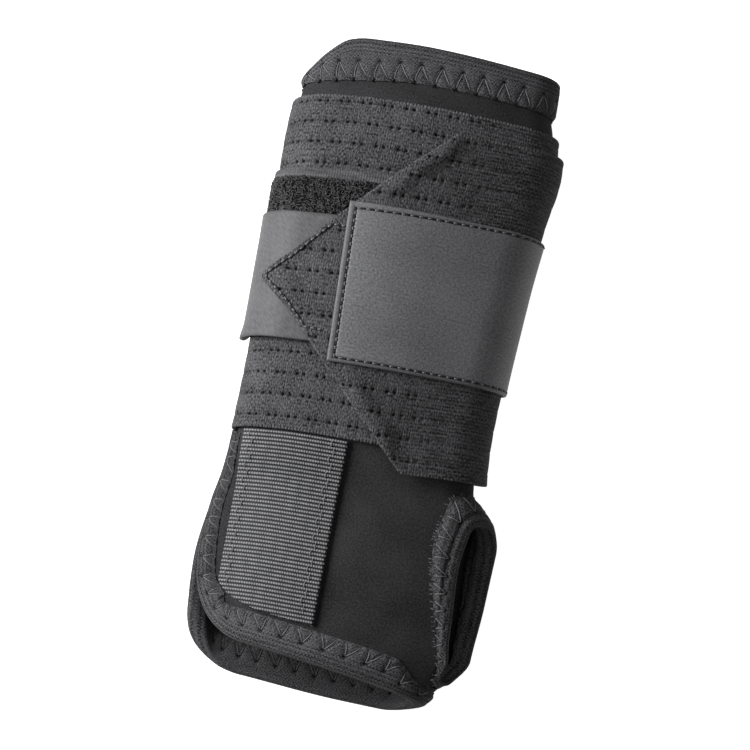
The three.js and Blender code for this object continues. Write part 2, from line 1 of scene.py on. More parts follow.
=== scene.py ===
"""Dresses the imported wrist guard: jersey wrap, bound edges, perforated elastic, pile, webbing and stitches.

Sizes are in millimetres until a point is placed: Face.place turns a place into metres in the solids' frame.
A place has three numbers: around, the distance over the wrap's outer face from the fold at the thumb side
(positive over the front, negative over the back), y along the arm, and a height above the face.
"""
import functools
import logging
import math
from dataclasses import dataclass, replace
from enum import Enum
from typing import NamedTuple, Sequence, Union

import bpy
import numpy as np
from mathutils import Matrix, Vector


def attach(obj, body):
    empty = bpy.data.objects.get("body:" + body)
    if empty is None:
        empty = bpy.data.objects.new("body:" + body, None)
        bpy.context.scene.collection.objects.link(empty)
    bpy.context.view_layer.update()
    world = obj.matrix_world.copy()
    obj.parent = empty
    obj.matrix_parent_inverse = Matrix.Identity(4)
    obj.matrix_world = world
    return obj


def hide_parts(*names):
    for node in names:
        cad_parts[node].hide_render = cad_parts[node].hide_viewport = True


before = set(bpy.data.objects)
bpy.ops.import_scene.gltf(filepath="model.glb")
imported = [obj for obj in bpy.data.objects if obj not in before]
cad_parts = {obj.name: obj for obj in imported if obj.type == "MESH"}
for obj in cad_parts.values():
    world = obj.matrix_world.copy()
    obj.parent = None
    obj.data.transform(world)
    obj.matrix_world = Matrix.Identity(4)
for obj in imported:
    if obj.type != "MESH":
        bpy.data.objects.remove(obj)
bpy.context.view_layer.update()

Array = np.ndarray
Colour = tuple[float, float, float]
Pair = tuple[float, float]
Steps = tuple[float, ...]
Places = tuple[Array, Array]
Curve = dict[float, float]

log = logging.getLogger("wrist_guard")

MM = 0.001
TAU = 2 * math.pi
WELD = 1e-7
LAY = "lay"
SEED = 11
WHITE = (1.0, 1.0, 1.0, 1.0)
FINE_DETAIL = 3.0
EDGE_STEPS = (0.0, 0.12, 0.35, 0.7)
PATH_STEP = 0.42
NUDGE = 0.05
OPEN_SIDE = 1.0
WHOLE_TURN = 2.0


class Slot(Enum):
    """The record's material slots."""

    NEOPRENE = "neoprene"
    TAPE = "tape"
    ELASTIC = "elastic"
    PILE = "pile"
    HOOK = "hook"
    PATCH = "patch"
    WEBBING = "webbing"


class Held(Enum):
    """How a sheet is held."""

    LAID = "laid"
    FOLDED = "folded"
    STRETCHED = "stretched"


class End(Enum):
    """The wrap's two ends, by the way that points out of them along the arm."""

    FOREARM = 1
    HAND = -1


@dataclass(frozen=True)
class Layers:
    """Thickness of each layer and the room between layers."""

    wall: float = 3.0
    tape: float = 1.0
    elastic: float = 1.6
    loop_pile: float = 1.0
    hook_sheet: float = 1.0
    rubber: float = 1.0
    webbing: float = 1.3
    gap: float = 0.35
    tape_gap: float = 0.5

    @property
    def first_turn(self) -> float:
        """Height of the strap's under face on its first turn."""
        return self.gap

    @property
    def lift(self) -> float:
        """Height of the wrap's back above the floor, on the strap's back turn."""
        return self.first_turn + self.elastic

    @property
    def second_turn(self) -> float:
        """Height of what lies on the strap's first turn."""
        return self.lift + self.gap

    @property
    def on_loop(self) -> float:
        """Height of what lies on the loop tape."""
        return self.second_turn + self.loop_pile + self.gap

    @property
    def on_hook(self) -> float:
        """Height of what lies on the hook tab."""
        return self.on_loop + self.hook_sheet + self.gap

    @property
    def tape_face(self) -> float:
        """Height of the folded tape's outer face."""
        return self.tape_gap + self.tape


LAYERS = Layers()


class SectionRow(NamedTuple):
    """A cross-section of the wrap's outer face, by its edges and the radii of its sides and its crown."""

    y: float
    left: float
    right: float
    left_radius: float
    right_radius: float
    crown_radius: float


class CornerRow(NamedTuple):
    """How far the rounding of a flap's corner reaches along the arm and across it."""

    share: float
    along: float
    across: float


class FlapRow(NamedTuple):
    """How far the open edges of the front and back flap stop short of the leftmost line."""

    y: float
    front: float
    back: float


SECTIONS = tuple(SectionRow(*row) for row in (
    (-97, -35, 29.5, 8, 9.5, 90),
    (-86, -36.8, 37.8, 8, 11, 90),
    (-77, -38.2, 45.2, 8, 12, 90),
    (-62, -39.3, 46.6, 8.5, 13, 90),
    (-45, -37.8, 45.5, 9.5, 13, 90),
    (-37, -36.4, 42.6, 10.5, 13, 90),
    (-29, -35.7, 36.6, 12, 13, 90),
    (-10, -35.4, 35, 12.8, 13.5, 90),
    (30, -36.3, 36.4, 13.5, 13.5, 90),
    (54, -37.4, 38.5, 13.2, 13.2, 91),
    (68, -37.9, 40.3, 12.95, 12.95, 93),
    (79, -37.6, 39.6, 12.6, 12.6, 95),
    (89, -36, 37.4, 11.5, 11, 105),
    (100, -35, 37.2, 10, 9.5, 120),
))
# Rims along the arm, by the share of the way from the fold to the open edge, below 0 on the back.
FOREARM_RIM: Curve = {
    -1: 95.2, -0.4: 95.9, 0: 97, 0.15: 96.5, 0.5: 96.9, 0.66: 96.5, 0.72: 96.3, 0.775: 95.2,
    0.83: 90.8, 0.885: 85.8, 0.95: 83.2, 1: 82,
}
HAND_RIM: Curve = {
    -1: -93.3, -0.5: -94.7, -0.25: -94.8, 0: -92, 0.25: -88.6, 0.5: -86.2, 0.75: -84.4, 1: -83,
}
FOREARM_CORNER = (CornerRow(-0.5, 15, 15), CornerRow(0.5, 4.5, 0.6))
HAND_CORNER = (CornerRow(-0.5, 23, 23), CornerRow(0.5, 15.5, 15.5))
# How far the tapes reach in from the rim, by that share.
FOREARM_TAPE: Curve = {
    -1: 11.6, 0.5: 11.6, 0.66: 11, 0.72: 10.4, 0.775: 8.8, 0.83: 5.6, 0.885: 3.4, 1: 1.7,
}
HAND_TAPE: Curve = {-1: 8.6, 1: 8.6}
# Where the forearm tape's inner edge runs along the arm over the front flap, by the distance around.
FOREARM_TAPE_EDGE: Curve = {30: 85.8, 48: 85.4, 62: 83.8, 75: 82.2, 90: 80.8}
FLAP_EDGES = tuple(FlapRow(*row) for row in (
    (-96, 8, -2.4),
    (-75, 6.8, -1.8),
    (-62, 5, -0.4),
    (-45, 2.6, 1.4),
    (-26, 2.4, 2.4),
    (40, 2.4, 2.4),
    (79, -5, 12),
    (96, -5, 12),
))
# Where the strap's middle line runs along the arm, by its turn round the wrap.
STRAP_MIDDLE: Curve = {
    -0.11: 29.9, 0.05: 29.6, 0.45: 28.7, 0.7: 28.2, 0.95: 26.4, 1.1: 25.5, 2: 24, 2.4: 21.4,
    2.87: 19.25,
}


def mix(low: Array, high: Array, share: Array) -> Array:
    """Value that lies a share of the way from low to high."""
    return low + (high - low) * share


def ease(value: Array, start: float, end: float) -> Array:
    """Share from 0 at start to 1 at end, with a soft start and stop."""
    share = np.clip((value - start) / (end - start), 0, 1)
    return share * share * (3 - 2 * share)


def rounded(distance: Array, radius: float) -> Array:
    """Rise of a rounded edge from 0 at the edge to 1 at a radius from it."""
    left = 1 - np.clip(distance / radius, 0, 1)
    return np.sqrt(1 - left * left)


def bell(distance: Array, reach: float) -> Array:
    """Soft hump, 1 at no distance and nearly 0 at twice the reach."""
    return np.exp(-((distance / reach) ** 2))


def arched(share: Array) -> Array:
    """Rise of a thread between the two holes that it leaves and enters."""
    return np.sqrt(np.maximum(np.sin(math.pi * share), 0))


def spaced(length: float, border: Sequence[float], step: float) -> Array:
    """Positions along a length, with set offsets from both of its ends and equal steps between them.

    Args:
        length: the length to divide.
        border: offsets from either end, from 0 up.
        step: the longest step between the two borders.

    Returns:
        The positions in order.
    """
    middle = length - 2 * border[-1]
    count = max(math.ceil(middle / step), 1)
    inside = border[-1] + middle * np.arange(1, count) / count
    return np.concatenate([border, inside, length - np.array(border)[::-1]])


@dataclass(frozen=True)
class Seam:
    """A line of short light stitches, with dark tubes between them that paint the shade in the needle holes.

    Attributes:
        sunk: how deep the ends of the light stitches lie under the face, and those of the dark tubes of
            painted shade.
        bow: how far the middle of a stitch stands up, beyond the thread's radius.
    """

    pitch: float
    length: float
    thread: float
    sunk: Pair
    bow: float = 0.3
    steps: int = 7

    def rows(self, line: Places) -> list[tuple[Array, Array, Array, float]]:
        """Divides a line into stitches.

        Args:
            line: the two coordinates of the points of the line, in millimetres.

        Returns:
            For the light stitches and then the dark ones, the two coordinates of their points, a row for
            each stitch, their heights over the face and their mark.
        """
        far = np.concatenate([[0], np.cumsum(np.hypot(*(np.diff(values) for values in line)))])
        share = np.linspace(0, 1, self.steps)
        rows = []
        # Mark 0 gives the light stitches; mark 1 gives the dark tubes of painted shade in the needle holes.
        for mark, sunk in enumerate(self.sunk):
            starts = np.arange(mark * self.pitch / 2, far[-1] - self.length, self.pitch)
            at = starts[:, None] + self.length * share
            lift = arched(share) * (self.thread + self.bow) - sunk
            rows.append((np.interp(at, far, line[0]), np.interp(at, far, line[1]), lift, float(mark)))
        return rows


def interpolate(keys: Sequence[float], values: Sequence[float], at: Array) -> Array:
    """Values between given ones, along smooth curves that don't overshoot.

    Args:
        keys: where the values are given, in order.
        values: the values there.
        at: where they are wanted.

    Returns:
        The values at those places.
    """
    keys, values = np.array(keys, float), np.array(values, float)
    step, jump = np.diff(keys), np.diff(values)
    slope = jump / step
    before = np.concatenate([slope[:1], slope])
    after = np.concatenate([slope, slope[-1:]])
    agree = before * after > 0
    tangent = np.where(agree, 2 * before * after / np.where(agree, before + after, 1), 0)
    row = np.clip(np.searchsorted(keys, at, side="right") - 1, 0, len(step) - 1)
    t = np.clip((at - keys[row]) / step[row], 0, 1)
    bend = (1 - t) * tangent[row] - t * tangent[row + 1]
    return values[row] + jump[row] * t + t * (1 - t) * (step[row] * bend - jump[row] * (1 - 2 * t))


def read(rows: Sequence[NamedTuple], column: str, at: Array) -> Array:
    """Reads a column of a table at values of its first column."""
    return interpolate([row[0] for row in rows], [getattr(row, column) for row in rows], at)


def follow(curve: Curve, at: Array) -> Array:
    """Reads a curve at some places."""
    return interpolate(list(curve), list(curve.values()), at)


class Arc(NamedTuple):
    """An arc of a cross-section: its centre and radius."""

    x: Array
    z: Array
    r: Array


@dataclass(frozen=True)
class Section:
    """Cross-sections: an arc at each side, a crown over the front and a flat back."""

    right: Arc
    left: Arc
    crown: Arc
    right_turn: Array
    left_turn: Array

    @property
    def front(self) -> Array:
        """Length over the front from the fold to the leftmost point."""
        over_crown = self.crown.r * (self.left_turn - self.right_turn)
        return self.right.r * self.right_turn + over_crown + self.left.r * (math.pi - self.left_turn)

    @property
    def back(self) -> Array:
        """Length over the back from the fold to the leftmost point."""
        return (self.right.r + self.left.r) * math.pi / 2 + self.right.x - self.left.x


@dataclass(frozen=True)
class Face:
    """The wrap's outer face, on which every piece is placed.

    Attributes:
        middle_x: where the middle of the solids' box lies across the face's own coordinates.
        middle_y: where it lies along them.
    """

    middle_x: float = 2.645
    middle_y: float = 1.1
    halvings: int = 30

    def section(self, y: Array) -> Section:
        """Cross-sections of the face.

        Args:
            y: places along the arm.

        Returns:
            The sections at those places.
        """
        left_r, right_r = read(SECTIONS, "left_radius", y), read(SECTIONS, "right_radius", y)
        crown_r = read(SECTIONS, "crown_radius", y)
        right = Arc(read(SECTIONS, "right", y) - right_r, LAYERS.lift + right_r, right_r)
        left = Arc(read(SECTIONS, "left", y) + left_r, LAYERS.lift + left_r, left_r)
        dx, dz = right.x - left.x, right.z - left.z
        span = np.hypot(dx, dz)
        reach_left, reach_right = crown_r - left_r, crown_r - right_r
        along = (reach_left**2 - reach_right**2 + span**2) / (2 * span)
        drop = np.sqrt(reach_left**2 - along**2)
        crown_x = left.x + (along * dx + drop * dz) / span
        crown_z = left.z + (along * dz - drop * dx) / span
        crown = Arc(crown_x, crown_z, crown_r)
        right_turn = np.arctan2(right.z - crown_z, right.x - crown_x)
        left_turn = np.arctan2(left.z - crown_z, left.x - crown_x)
        return Section(right, left, crown, right_turn, left_turn)

    def spot(self, around: Array, y: Array, height: Array) -> Array:
        """Points in the face's own coordinates.

        Args:
            around: distances over the face from the fold.
            y: places along the arm.
            height: heights above the face.

        Returns:
            Points in millimetres, with x, y and z along the last axis.
        """
        around, y, height = (np.asarray(a, float) for a in np.broadcast_arrays(around, y, height))
        section = self.section(y)
        right, left, crown = section.right, section.left, section.crown
        whole = section.front + section.back
        over = np.where(around > section.front, around - whole, around)
        over = np.where(around < -section.back, around + whole, over)
        past_right = over - right.r * section.right_turn
        past_crown = past_right - crown.r * (section.left_turn - section.right_turn)
        on_flat = -over - right.r * math.pi / 2
        past_flat = on_flat - (right.x - left.x)
        cases = [past_crown > 0, past_right > 0, past_flat > 0]
        centre_x, centre_z, radius = (np.select(cases, [l, c, l], r) for l, c, r in zip(left, crown, right))
        angle = np.select(
            cases,
            [
                section.left_turn + past_crown / left.r,
                section.right_turn + past_right / crown.r,
                -math.pi / 2 - past_flat / left.r,
            ],
            over / right.r,
        )
        x = centre_x + (radius + height) * np.cos(angle)
        z = centre_z + (radius + height) * np.sin(angle)
        flat = (on_flat > 0) & (past_flat <= 0)
        x = np.where(flat, right.x - on_flat, x)
        z = np.where(flat, LAYERS.lift - height, z)
        return np.stack([x, y, z], axis=-1)

    def place(self, around: Array, y: Array, height: Array) -> Array:
        """Points in metres in the solids' frame, from distances as for spot()."""
        return (self.spot(around, y, height) - (self.middle_x, self.middle_y, 0)) * MM

    def facing(self, around: Array, y: Array) -> Array:
        """Directions straight out of the face."""
        return self.spot(around, y, 1.0) - self.spot(around, y, 0.0)

    def around_at_turn(self, turn: Array, y: Array) -> Array:
        """Distances around at turns: 0 is the fold, 1 the leftmost line and 2 the fold again.

        Args:
            turn: the turns.
            y: places along the arm.

        Returns:
            The distances around.
        """
        section = self.section(y)
        share = np.where(turn > OPEN_SIDE, turn - WHOLE_TURN, turn)
        return share * np.where(share > 0, section.front, section.back)

    def around_at_x(self, x: Array, y: Array) -> Array:
        """Distances around at which the front of the face has given places across.

        Args:
            x: places across, in the face's own coordinates.
            y: places along the arm.

        Returns:
            The distances around.
        """
        low, high = np.zeros(np.shape(x)), self.section(y).front
        for _ in range(self.halvings):
            middle = (low + high) / 2
            beyond = self.spot(middle, y, 0.0)[..., 0] > x
            low, high = np.where(beyond, middle, low), np.where(beyond, high, middle)
        return (low + high) / 2


FACE = Face()


class Cloth(NamedTuple):
    """A mesh in the making: points in metres, faces of four corners, and the lay of each point.

    The lay holds how far along and across its cloth a point is, in millimetres, and a mark of its finish.
    """

    points: Array
    faces: Array
    lay: Array


def lay_of(along: Array, across: Array, mark: Array) -> Array:
    """Lay of points, by their distances along and across and their marks."""
    return np.stack(np.broadcast_arrays(along, across, mark), axis=-1)


def join(cloths: Sequence[Cloth]) -> Cloth:
    """Puts several meshes into one.

    Args:
        cloths: the meshes.

    Returns:
        The mesh with all of their points and faces.
    """
    starts = np.cumsum([0] + [len(c.points) for c in cloths[:-1]])
    points = np.concatenate([c.points for c in cloths])
    faces = np.concatenate([c.faces + start for c, start in zip(cloths, starts)])
    return Cloth(points, faces, np.concatenate([c.lay for c in cloths]))


def closed_sheet(outer: Array, inner: Array, lay: Array, keep: Array | None = None) -> Cloth:
    """Closes two grids of points into a sheet with thickness.

    Args:
        outer: the outer face's points, in rows and columns.
        inner: the inner face's points, in as many.
        lay: the lay of each point of the grid.
        keep: which faces of the grid are kept, all unless given.

    Returns:
        The sheet, with walls along the border of what is kept.
    """
    rows, columns = outer.shape[:2]
    under = rows * columns
    index = np.arange(under).reshape(rows, columns)
    corners = np.stack([index[:-1, :-1], index[1:, :-1], index[1:, 1:], index[:-1, 1:]], axis=-1)
    top = corners.reshape(-1, 4) if keep is None else corners[keep]
    sides = np.concatenate([top[:, [k, (k + 1) % 4]] for k in range(4)])
    shared = np.isin(sides[:, 0] * under + sides[:, 1], sides[:, 1] * under + sides[:, 0])
    border = sides[~shared]
    walls = np.stack([border[:, 1], border[:, 0], border[:, 0] + under, border[:, 1] + under], axis=1)
    points = np.concatenate([outer.reshape(-1, 3), inner.reshape(-1, 3)])
    both = np.concatenate([lay.reshape(-1, 3)] * 2)
    return Cloth(points, np.concatenate([top, top[:, ::-1] + under, walls]), both)


def tubes(runs: Array, facing: Array, radius: float, mark: Array = 0.0, sides: int = 6) -> Cloth:
    """Round threads along runs of points, pointed at both ends.

    Args:
        runs: the points of each thread in metres, as many for each.
        facing: directions out of the cloth at those points.
        radius: the thread's radius in millimetres.
        mark: the mark of the finish at each point, or one for all of them.
        sides: how many sides a thread has.

    Returns:
        The threads as one mesh.
    """
    count, length = runs.shape[:2]
    along = np.gradient(runs, axis=1)
    along /= np.linalg.norm(along, axis=2, keepdims=True)
    beside = np.cross(along, facing)
    beside /= np.linalg.norm(beside, axis=2, keepdims=True)
    up = np.cross(beside, along)
    angle = np.arange(sides) * TAU / sides
    thick = np.full(length, radius * MM)
    thick[[0, -1]] = 0
    ring = beside[:, :, None] * np.cos(angle)[:, None] + up[:, :, None] * np.sin(angle)[:, None]
    points = runs[:, :, None] + ring * thick[:, None, None]
    step = np.linalg.norm(np.diff(runs, axis=1, prepend=runs[:, :1]), axis=2)
    marks = np.broadcast_to(mark, (count, length))[:, :, None]
    lay = lay_of((np.cumsum(step, axis=1) / MM)[:, :, None], angle, marks)
    index = np.arange(count * length * sides).reshape(count, length, sides)
    turned_on = np.roll(index, -1, axis=2)
    faces = np.stack([index[:, :-1], turned_on[:, :-1], turned_on[:, 1:], index[:, 1:]], axis=-1)
    return Cloth(points.reshape(-1, 3), faces.reshape(-1, 4), lay.reshape(-1, 3))


def cloth_area(points: Array, keep: Array | None = None) -> float:
    """Area of a grid of points.

    Args:
        points: the points in rows and columns.
        keep: which faces count, all unless given.

    Returns:
        The area in square metres.
    """
    one = points[1:, 1:] - points[:-1, :-1]
    other = points[1:, :-1] - points[:-1, 1:]
    area = np.linalg.norm(np.cross(one, other), axis=-1) / 2
    return float(area.sum() if keep is None else area[keep].sum())


def put(name: str, data: bpy.types.ID) -> bpy.types.Object:
    """Puts an object into the scene.

    Args:
        name: the object's name.
        data: its mesh, camera or light.

    Returns:
        The object.
    """
    thing = bpy.data.objects.new(name, data)
    bpy.context.scene.collection.objects.link(thing)
    return thing


def make_piece(name: str, cloth: Cloth) -> bpy.types.Object:
    """Makes a smooth object of a mesh, with points that meet welded and faces that point out.

    Args:
        name: the piece's name.
        cloth: the mesh.

    Returns:
        The object, in the scene.
    """
    keys = np.round(cloth.points / WELD).astype(np.int64)
    _, first, index = np.unique(keys, axis=0, return_index=True, return_inverse=True)
    points, faces = cloth.points[first], index.reshape(-1)[cloth.faces]
    same = faces == np.roll(faces, -1, axis=1)
    crossed = (faces[:, 0] == faces[:, 2]) | (faces[:, 1] == faces[:, 3])
    good = (same.sum(axis=1) <= 1) & ~crossed
    faces, same = faces[good], same[good]
    a, b, c, d = (points[faces[:, k]] for k in range(4))
    if np.sum(a * np.cross(b, c)) + np.sum(a * np.cross(c, d)) < 0:
        faces, same = faces[:, ::-1], np.roll(same[:, ::-1], -1, axis=1)
    corners = faces[~same]
    starts = np.concatenate([[0], np.cumsum(4 - same.sum(axis=1))[:-1]])
    mesh = bpy.data.meshes.new(name)
    mesh.vertices.add(len(points))
    mesh.vertices.foreach_set("co", points.ravel().astype(np.float32))
    mesh.loops.add(len(corners))
    mesh.loops.foreach_set("vertex_index", corners.astype(np.int32))
    mesh.polygons.add(len(starts))
    mesh.polygons.foreach_set("loop_start", starts.astype(np.int32))
    mesh.update(calc_edges=True)
    mesh.validate()
    mesh.shade_smooth()
    lay = mesh.attributes.new(LAY, "FLOAT_VECTOR", "POINT")
    lay.data.foreach_set("vector", cloth.lay[first].ravel().astype(np.float32))
    return put(name, mesh)


class Sock:
    """A socket that takes part in Python expressions, each of which adds the Math node that it needs."""

    def __init__(self, tree: "FinishTree", socket: bpy.types.NodeSocket) -> None:
        """Wraps a socket of a finish's node tree."""
        self.tree = tree
        self.socket = socket

    def __add__(self, other: "Value") -> "Sock":
        """Sum with another value."""
        return self.tree.math("ADD", self, other)

    def __sub__(self, other: "Value") -> "Sock":
        """Difference from another value."""
        return self.tree.math("SUBTRACT", self, other)

    def __rsub__(self, other: "Value") -> "Sock":
        """Difference of a number and this value."""
        return self.tree.math("SUBTRACT", other, self)

    def __mul__(self, other: "Value") -> "Sock":
        """Product with another value."""
        return self.tree.math("MULTIPLY", self, other)

    def __truediv__(self, other: "Value") -> "Sock":
        """Quotient by another value."""
        return self.tree.math("DIVIDE", self, other)

    __radd__ = __add__
    __rmul__ = __mul__

    def wave(self, pitch: float) -> "Sock":
        """Wave from 0 to 1 that repeats at a pitch."""
        return self.tree.math("SINE", self * (TAU / pitch)) * 0.5 + 0.5

    def size(self) -> "Sock":
        """Value without its sign."""
        return self.tree.math("ABSOLUTE", self)

    def whole(self) -> "Sock":
        """Nearest whole number."""
        return self.tree.math("ROUND", self)

    def to(self, other: "Value") -> "Sock":
        """Length of the slope over this value and another."""
        return self.tree.math("SQRT", self * self + other * other)

    def step(self, start: float, end: float) -> "Sock":
        """Soft step from 0 at start to 1 at end."""
        sockets = {"Value": self, "From Min": start, "From Max": end}
        return self.tree.node("ShaderNodeMapRange", {"interpolation_type": "SMOOTHSTEP"}, sockets)[0]


Value = Union[Sock, float]
Socks = tuple[Sock, ...]
Look = tuple[Value, Value]


class FinishTree:
    """The node tree of one material, with a shader to feed."""

    def __init__(self, name: str) -> None:
        """Makes a material.

        Args:
            name: the material's name.
        """
        self.material = bpy.data.materials.new(name)
        self.material.use_nodes = True
        self.nodes = self.material.node_tree.nodes
        self.links = self.material.node_tree.links
        self.shader = self.nodes["Principled BSDF"]

    def feed(self, node: bpy.types.Node, sockets: dict[object, object]) -> None:
        """Links values to a node's sockets, or sets them there.

        Args:
            node: the node.
            sockets: the values or links, by the sockets' names or numbers.
        """
        for key, value in sockets.items():
            if isinstance(value, Sock):
                self.links.new(value.socket, node.inputs[key])
            else:
                node.inputs[key].default_value = value

    def node(self, kind: str, settings: dict[str, object], sockets: dict[object, object]) -> Socks:
        """Adds a node.

        Args:
            kind: the node's type.
            settings: its settings, set before its sockets.
            sockets: values or links of its sockets, by name or number.

        Returns:
            The node's outputs.
        """
        node = self.nodes.new(kind)
        for name, value in settings.items():
            setattr(node, name, value)
        self.feed(node, sockets)
        return tuple(Sock(self, socket) for socket in node.outputs)

    def math(self, operation: str, *values: Value) -> Sock:
        """Adds a Math node on values."""
        return self.node("ShaderNodeMath", {"operation": operation}, dict(enumerate(values)))[0]

    def lay(self) -> Socks:
        """How far along and across its cloth a point is, in millimetres, and the mark of its finish."""
        lay = self.node("ShaderNodeAttribute", {"attribute_name": LAY}, {})[1]
        return self.node("ShaderNodeSeparateXYZ", {}, {0: lay})

    def grain(self, along: Sock, across: Sock, size: Pair, detail: float = 2.0) -> Sock:
        """Noise from 0 to 1 in specks of a size along and across."""
        at = self.node("ShaderNodeCombineXYZ", {}, {0: along / size[0], 1: across / size[1]})[0]
        return self.node("ShaderNodeTexNoise", {}, {"Vector": at, "Scale": 1.0, "Detail": detail})[0]

    def blend(self, share: Value, dark: Colour, light: Colour) -> Sock:
        """Colour that lies a share of the way from dark to light."""
        sockets = {"Factor": share, 6: (*dark, 1.0), 7: (*light, 1.0)}
        return self.node("ShaderNodeMix", {"data_type": "RGBA"}, sockets)[2]

    def bump(self, relief: Value, depth: float) -> Sock:
        """Normal of a relief from 0 to 1 of a depth in millimetres."""
        return self.node("ShaderNodeBump", {}, {"Height": relief, "Distance": depth * MM})[0]


@dataclass(frozen=True)
class Finish:
    """What a surface is like: two colours, and how rough, shiny and deep it is."""

    dark: Colour
    light: Colour
    rough: float
    shine: float
    depth: float

    def pattern(self, tree: FinishTree) -> Look:
        """How light the surface is and its fine relief, both from 0 to 1, as nodes of a tree."""
        raise NotImplementedError

    @functools.cache
    def material(self) -> bpy.types.Material:
        """Makes the material, once for each finish.

        Returns:
            The material.
        """
        tree = FinishTree(type(self).__name__)
        share, relief = self.pattern(tree)
        sockets = {
            "Base Color": tree.blend(share, self.dark, self.light),
            "Normal": tree.bump(relief, self.depth),
            "Roughness": self.rough,
            "Specular IOR Level": self.shine,
        }
        tree.feed(tree.shader, sockets)
        return tree.material


def grey(level: float) -> Colour:
    """Neutral colour with the faint blue of black dye."""
    return (level, level, level * 1.05)


@dataclass(frozen=True)
class Jersey(Finish):
    """Smooth knit over foam, with a fine grain and faint clouds."""

    speck: Pair = (0.55, 0.55)
    cloud: Pair = (14.0, 14.0)

    def pattern(self, tree: FinishTree) -> Look:
        """Specks of the knit's loops on slow clouds.

        Args:
            tree: the material's node tree.

        Returns:
            How light the surface is, and its relief.
        """
        along, across, _ = tree.lay()
        speck = tree.grain(along, across, self.speck, FINE_DETAIL)
        cloud = tree.grain(along, across, self.cloud)
        return 0.5 + (speck - 0.5) * 2.4 + (cloud - 0.5) * 1.1, speck


@dataclass(frozen=True)
class BindingKnit(Finish):
    """Soft knit tape with a fine grain, ridges beside its fold and two beaded lines on it."""

    column: float = 1.0
    course: float = 1.2
    speck: Pair = (0.5, 0.4)
    cloud: Pair = (7.0, 3.0)
    ridge_pitch: float = 1.27
    ridged: Pair = (3.0, 5.0)
    bead_pitch: float = 0.95
    lines_at: float = 0.5
    line_gap: float = 0.5
    line_edge: Pair = (0.12, 0.3)
    furrow: Pair = (0.1, 0.35)
    # Painted shade on the tape's inner face, inside the wrap; above 1 it paints light there instead.
    inner: float = 0.6
    inner_shading_from: Pair = (-6.0, -3.0)

    def pattern(self, tree: FinishTree) -> Look:
        """Rows of small loops, ridges and beads by the fold, with painted shade at the needle's holes and a
        painted tone on the inner face: shade for the forearm and hand tapes, light for the thumb's.

        Args:
            tree: the material's node tree.

        Returns:
            How light the surface is, and its relief.
        """
        along, across, pressed = tree.lay()
        loop = (along.wave(self.column) * 2 - 1) * (across.wave(self.course) * 2 - 1)
        speck = tree.grain(along, across, self.speck)
        cloud = tree.grain(along, across, self.cloud)
        by_fold = 1 - across.size().step(*self.ridged)
        ridge = (across.wave(self.ridge_pitch) - 0.5) * by_fold
        from_lines = (across - self.lines_at).size()
        on_line = 1 - (from_lines - self.line_gap).size().step(*self.line_edge)
        between = 1 - from_lines.step(*self.furrow)
        bead = (along.wave(self.bead_pitch) - 0.35) * on_line
        light = 0.46 + loop * 0.18 + (speck - 0.5) * 2.3 + (cloud - 0.5) * 0.4 + ridge * 0.34
        light = light + bead * 0.4 - between * 0.3
        # The inner face past the fold is scaled by inner as painted shade below 1 and painted light above 1;
        # the mark darkens the tape as painted shade.
        face = self.inner + (1 - self.inner) * across.step(*self.inner_shading_from)
        return light * face * (1 - pressed * 0.92), loop * 0.2 + speck * 0.6 + ridge * 0.5 + bead * 0.4


@dataclass(frozen=True)
class Perforation:
    """Rows of needle holes in pairs, each row shifted by half a pitch against the next."""

    edge: float = 50.0
    first_row: float = 2.1
    row_pitch: float = 6.27
    rows: int = 16
    pair_pitch: float = 6.1
    pair_gap: float = 2.1
    radius: float = 0.46
    spread: float = 1.25


PERFORATION = Perforation()


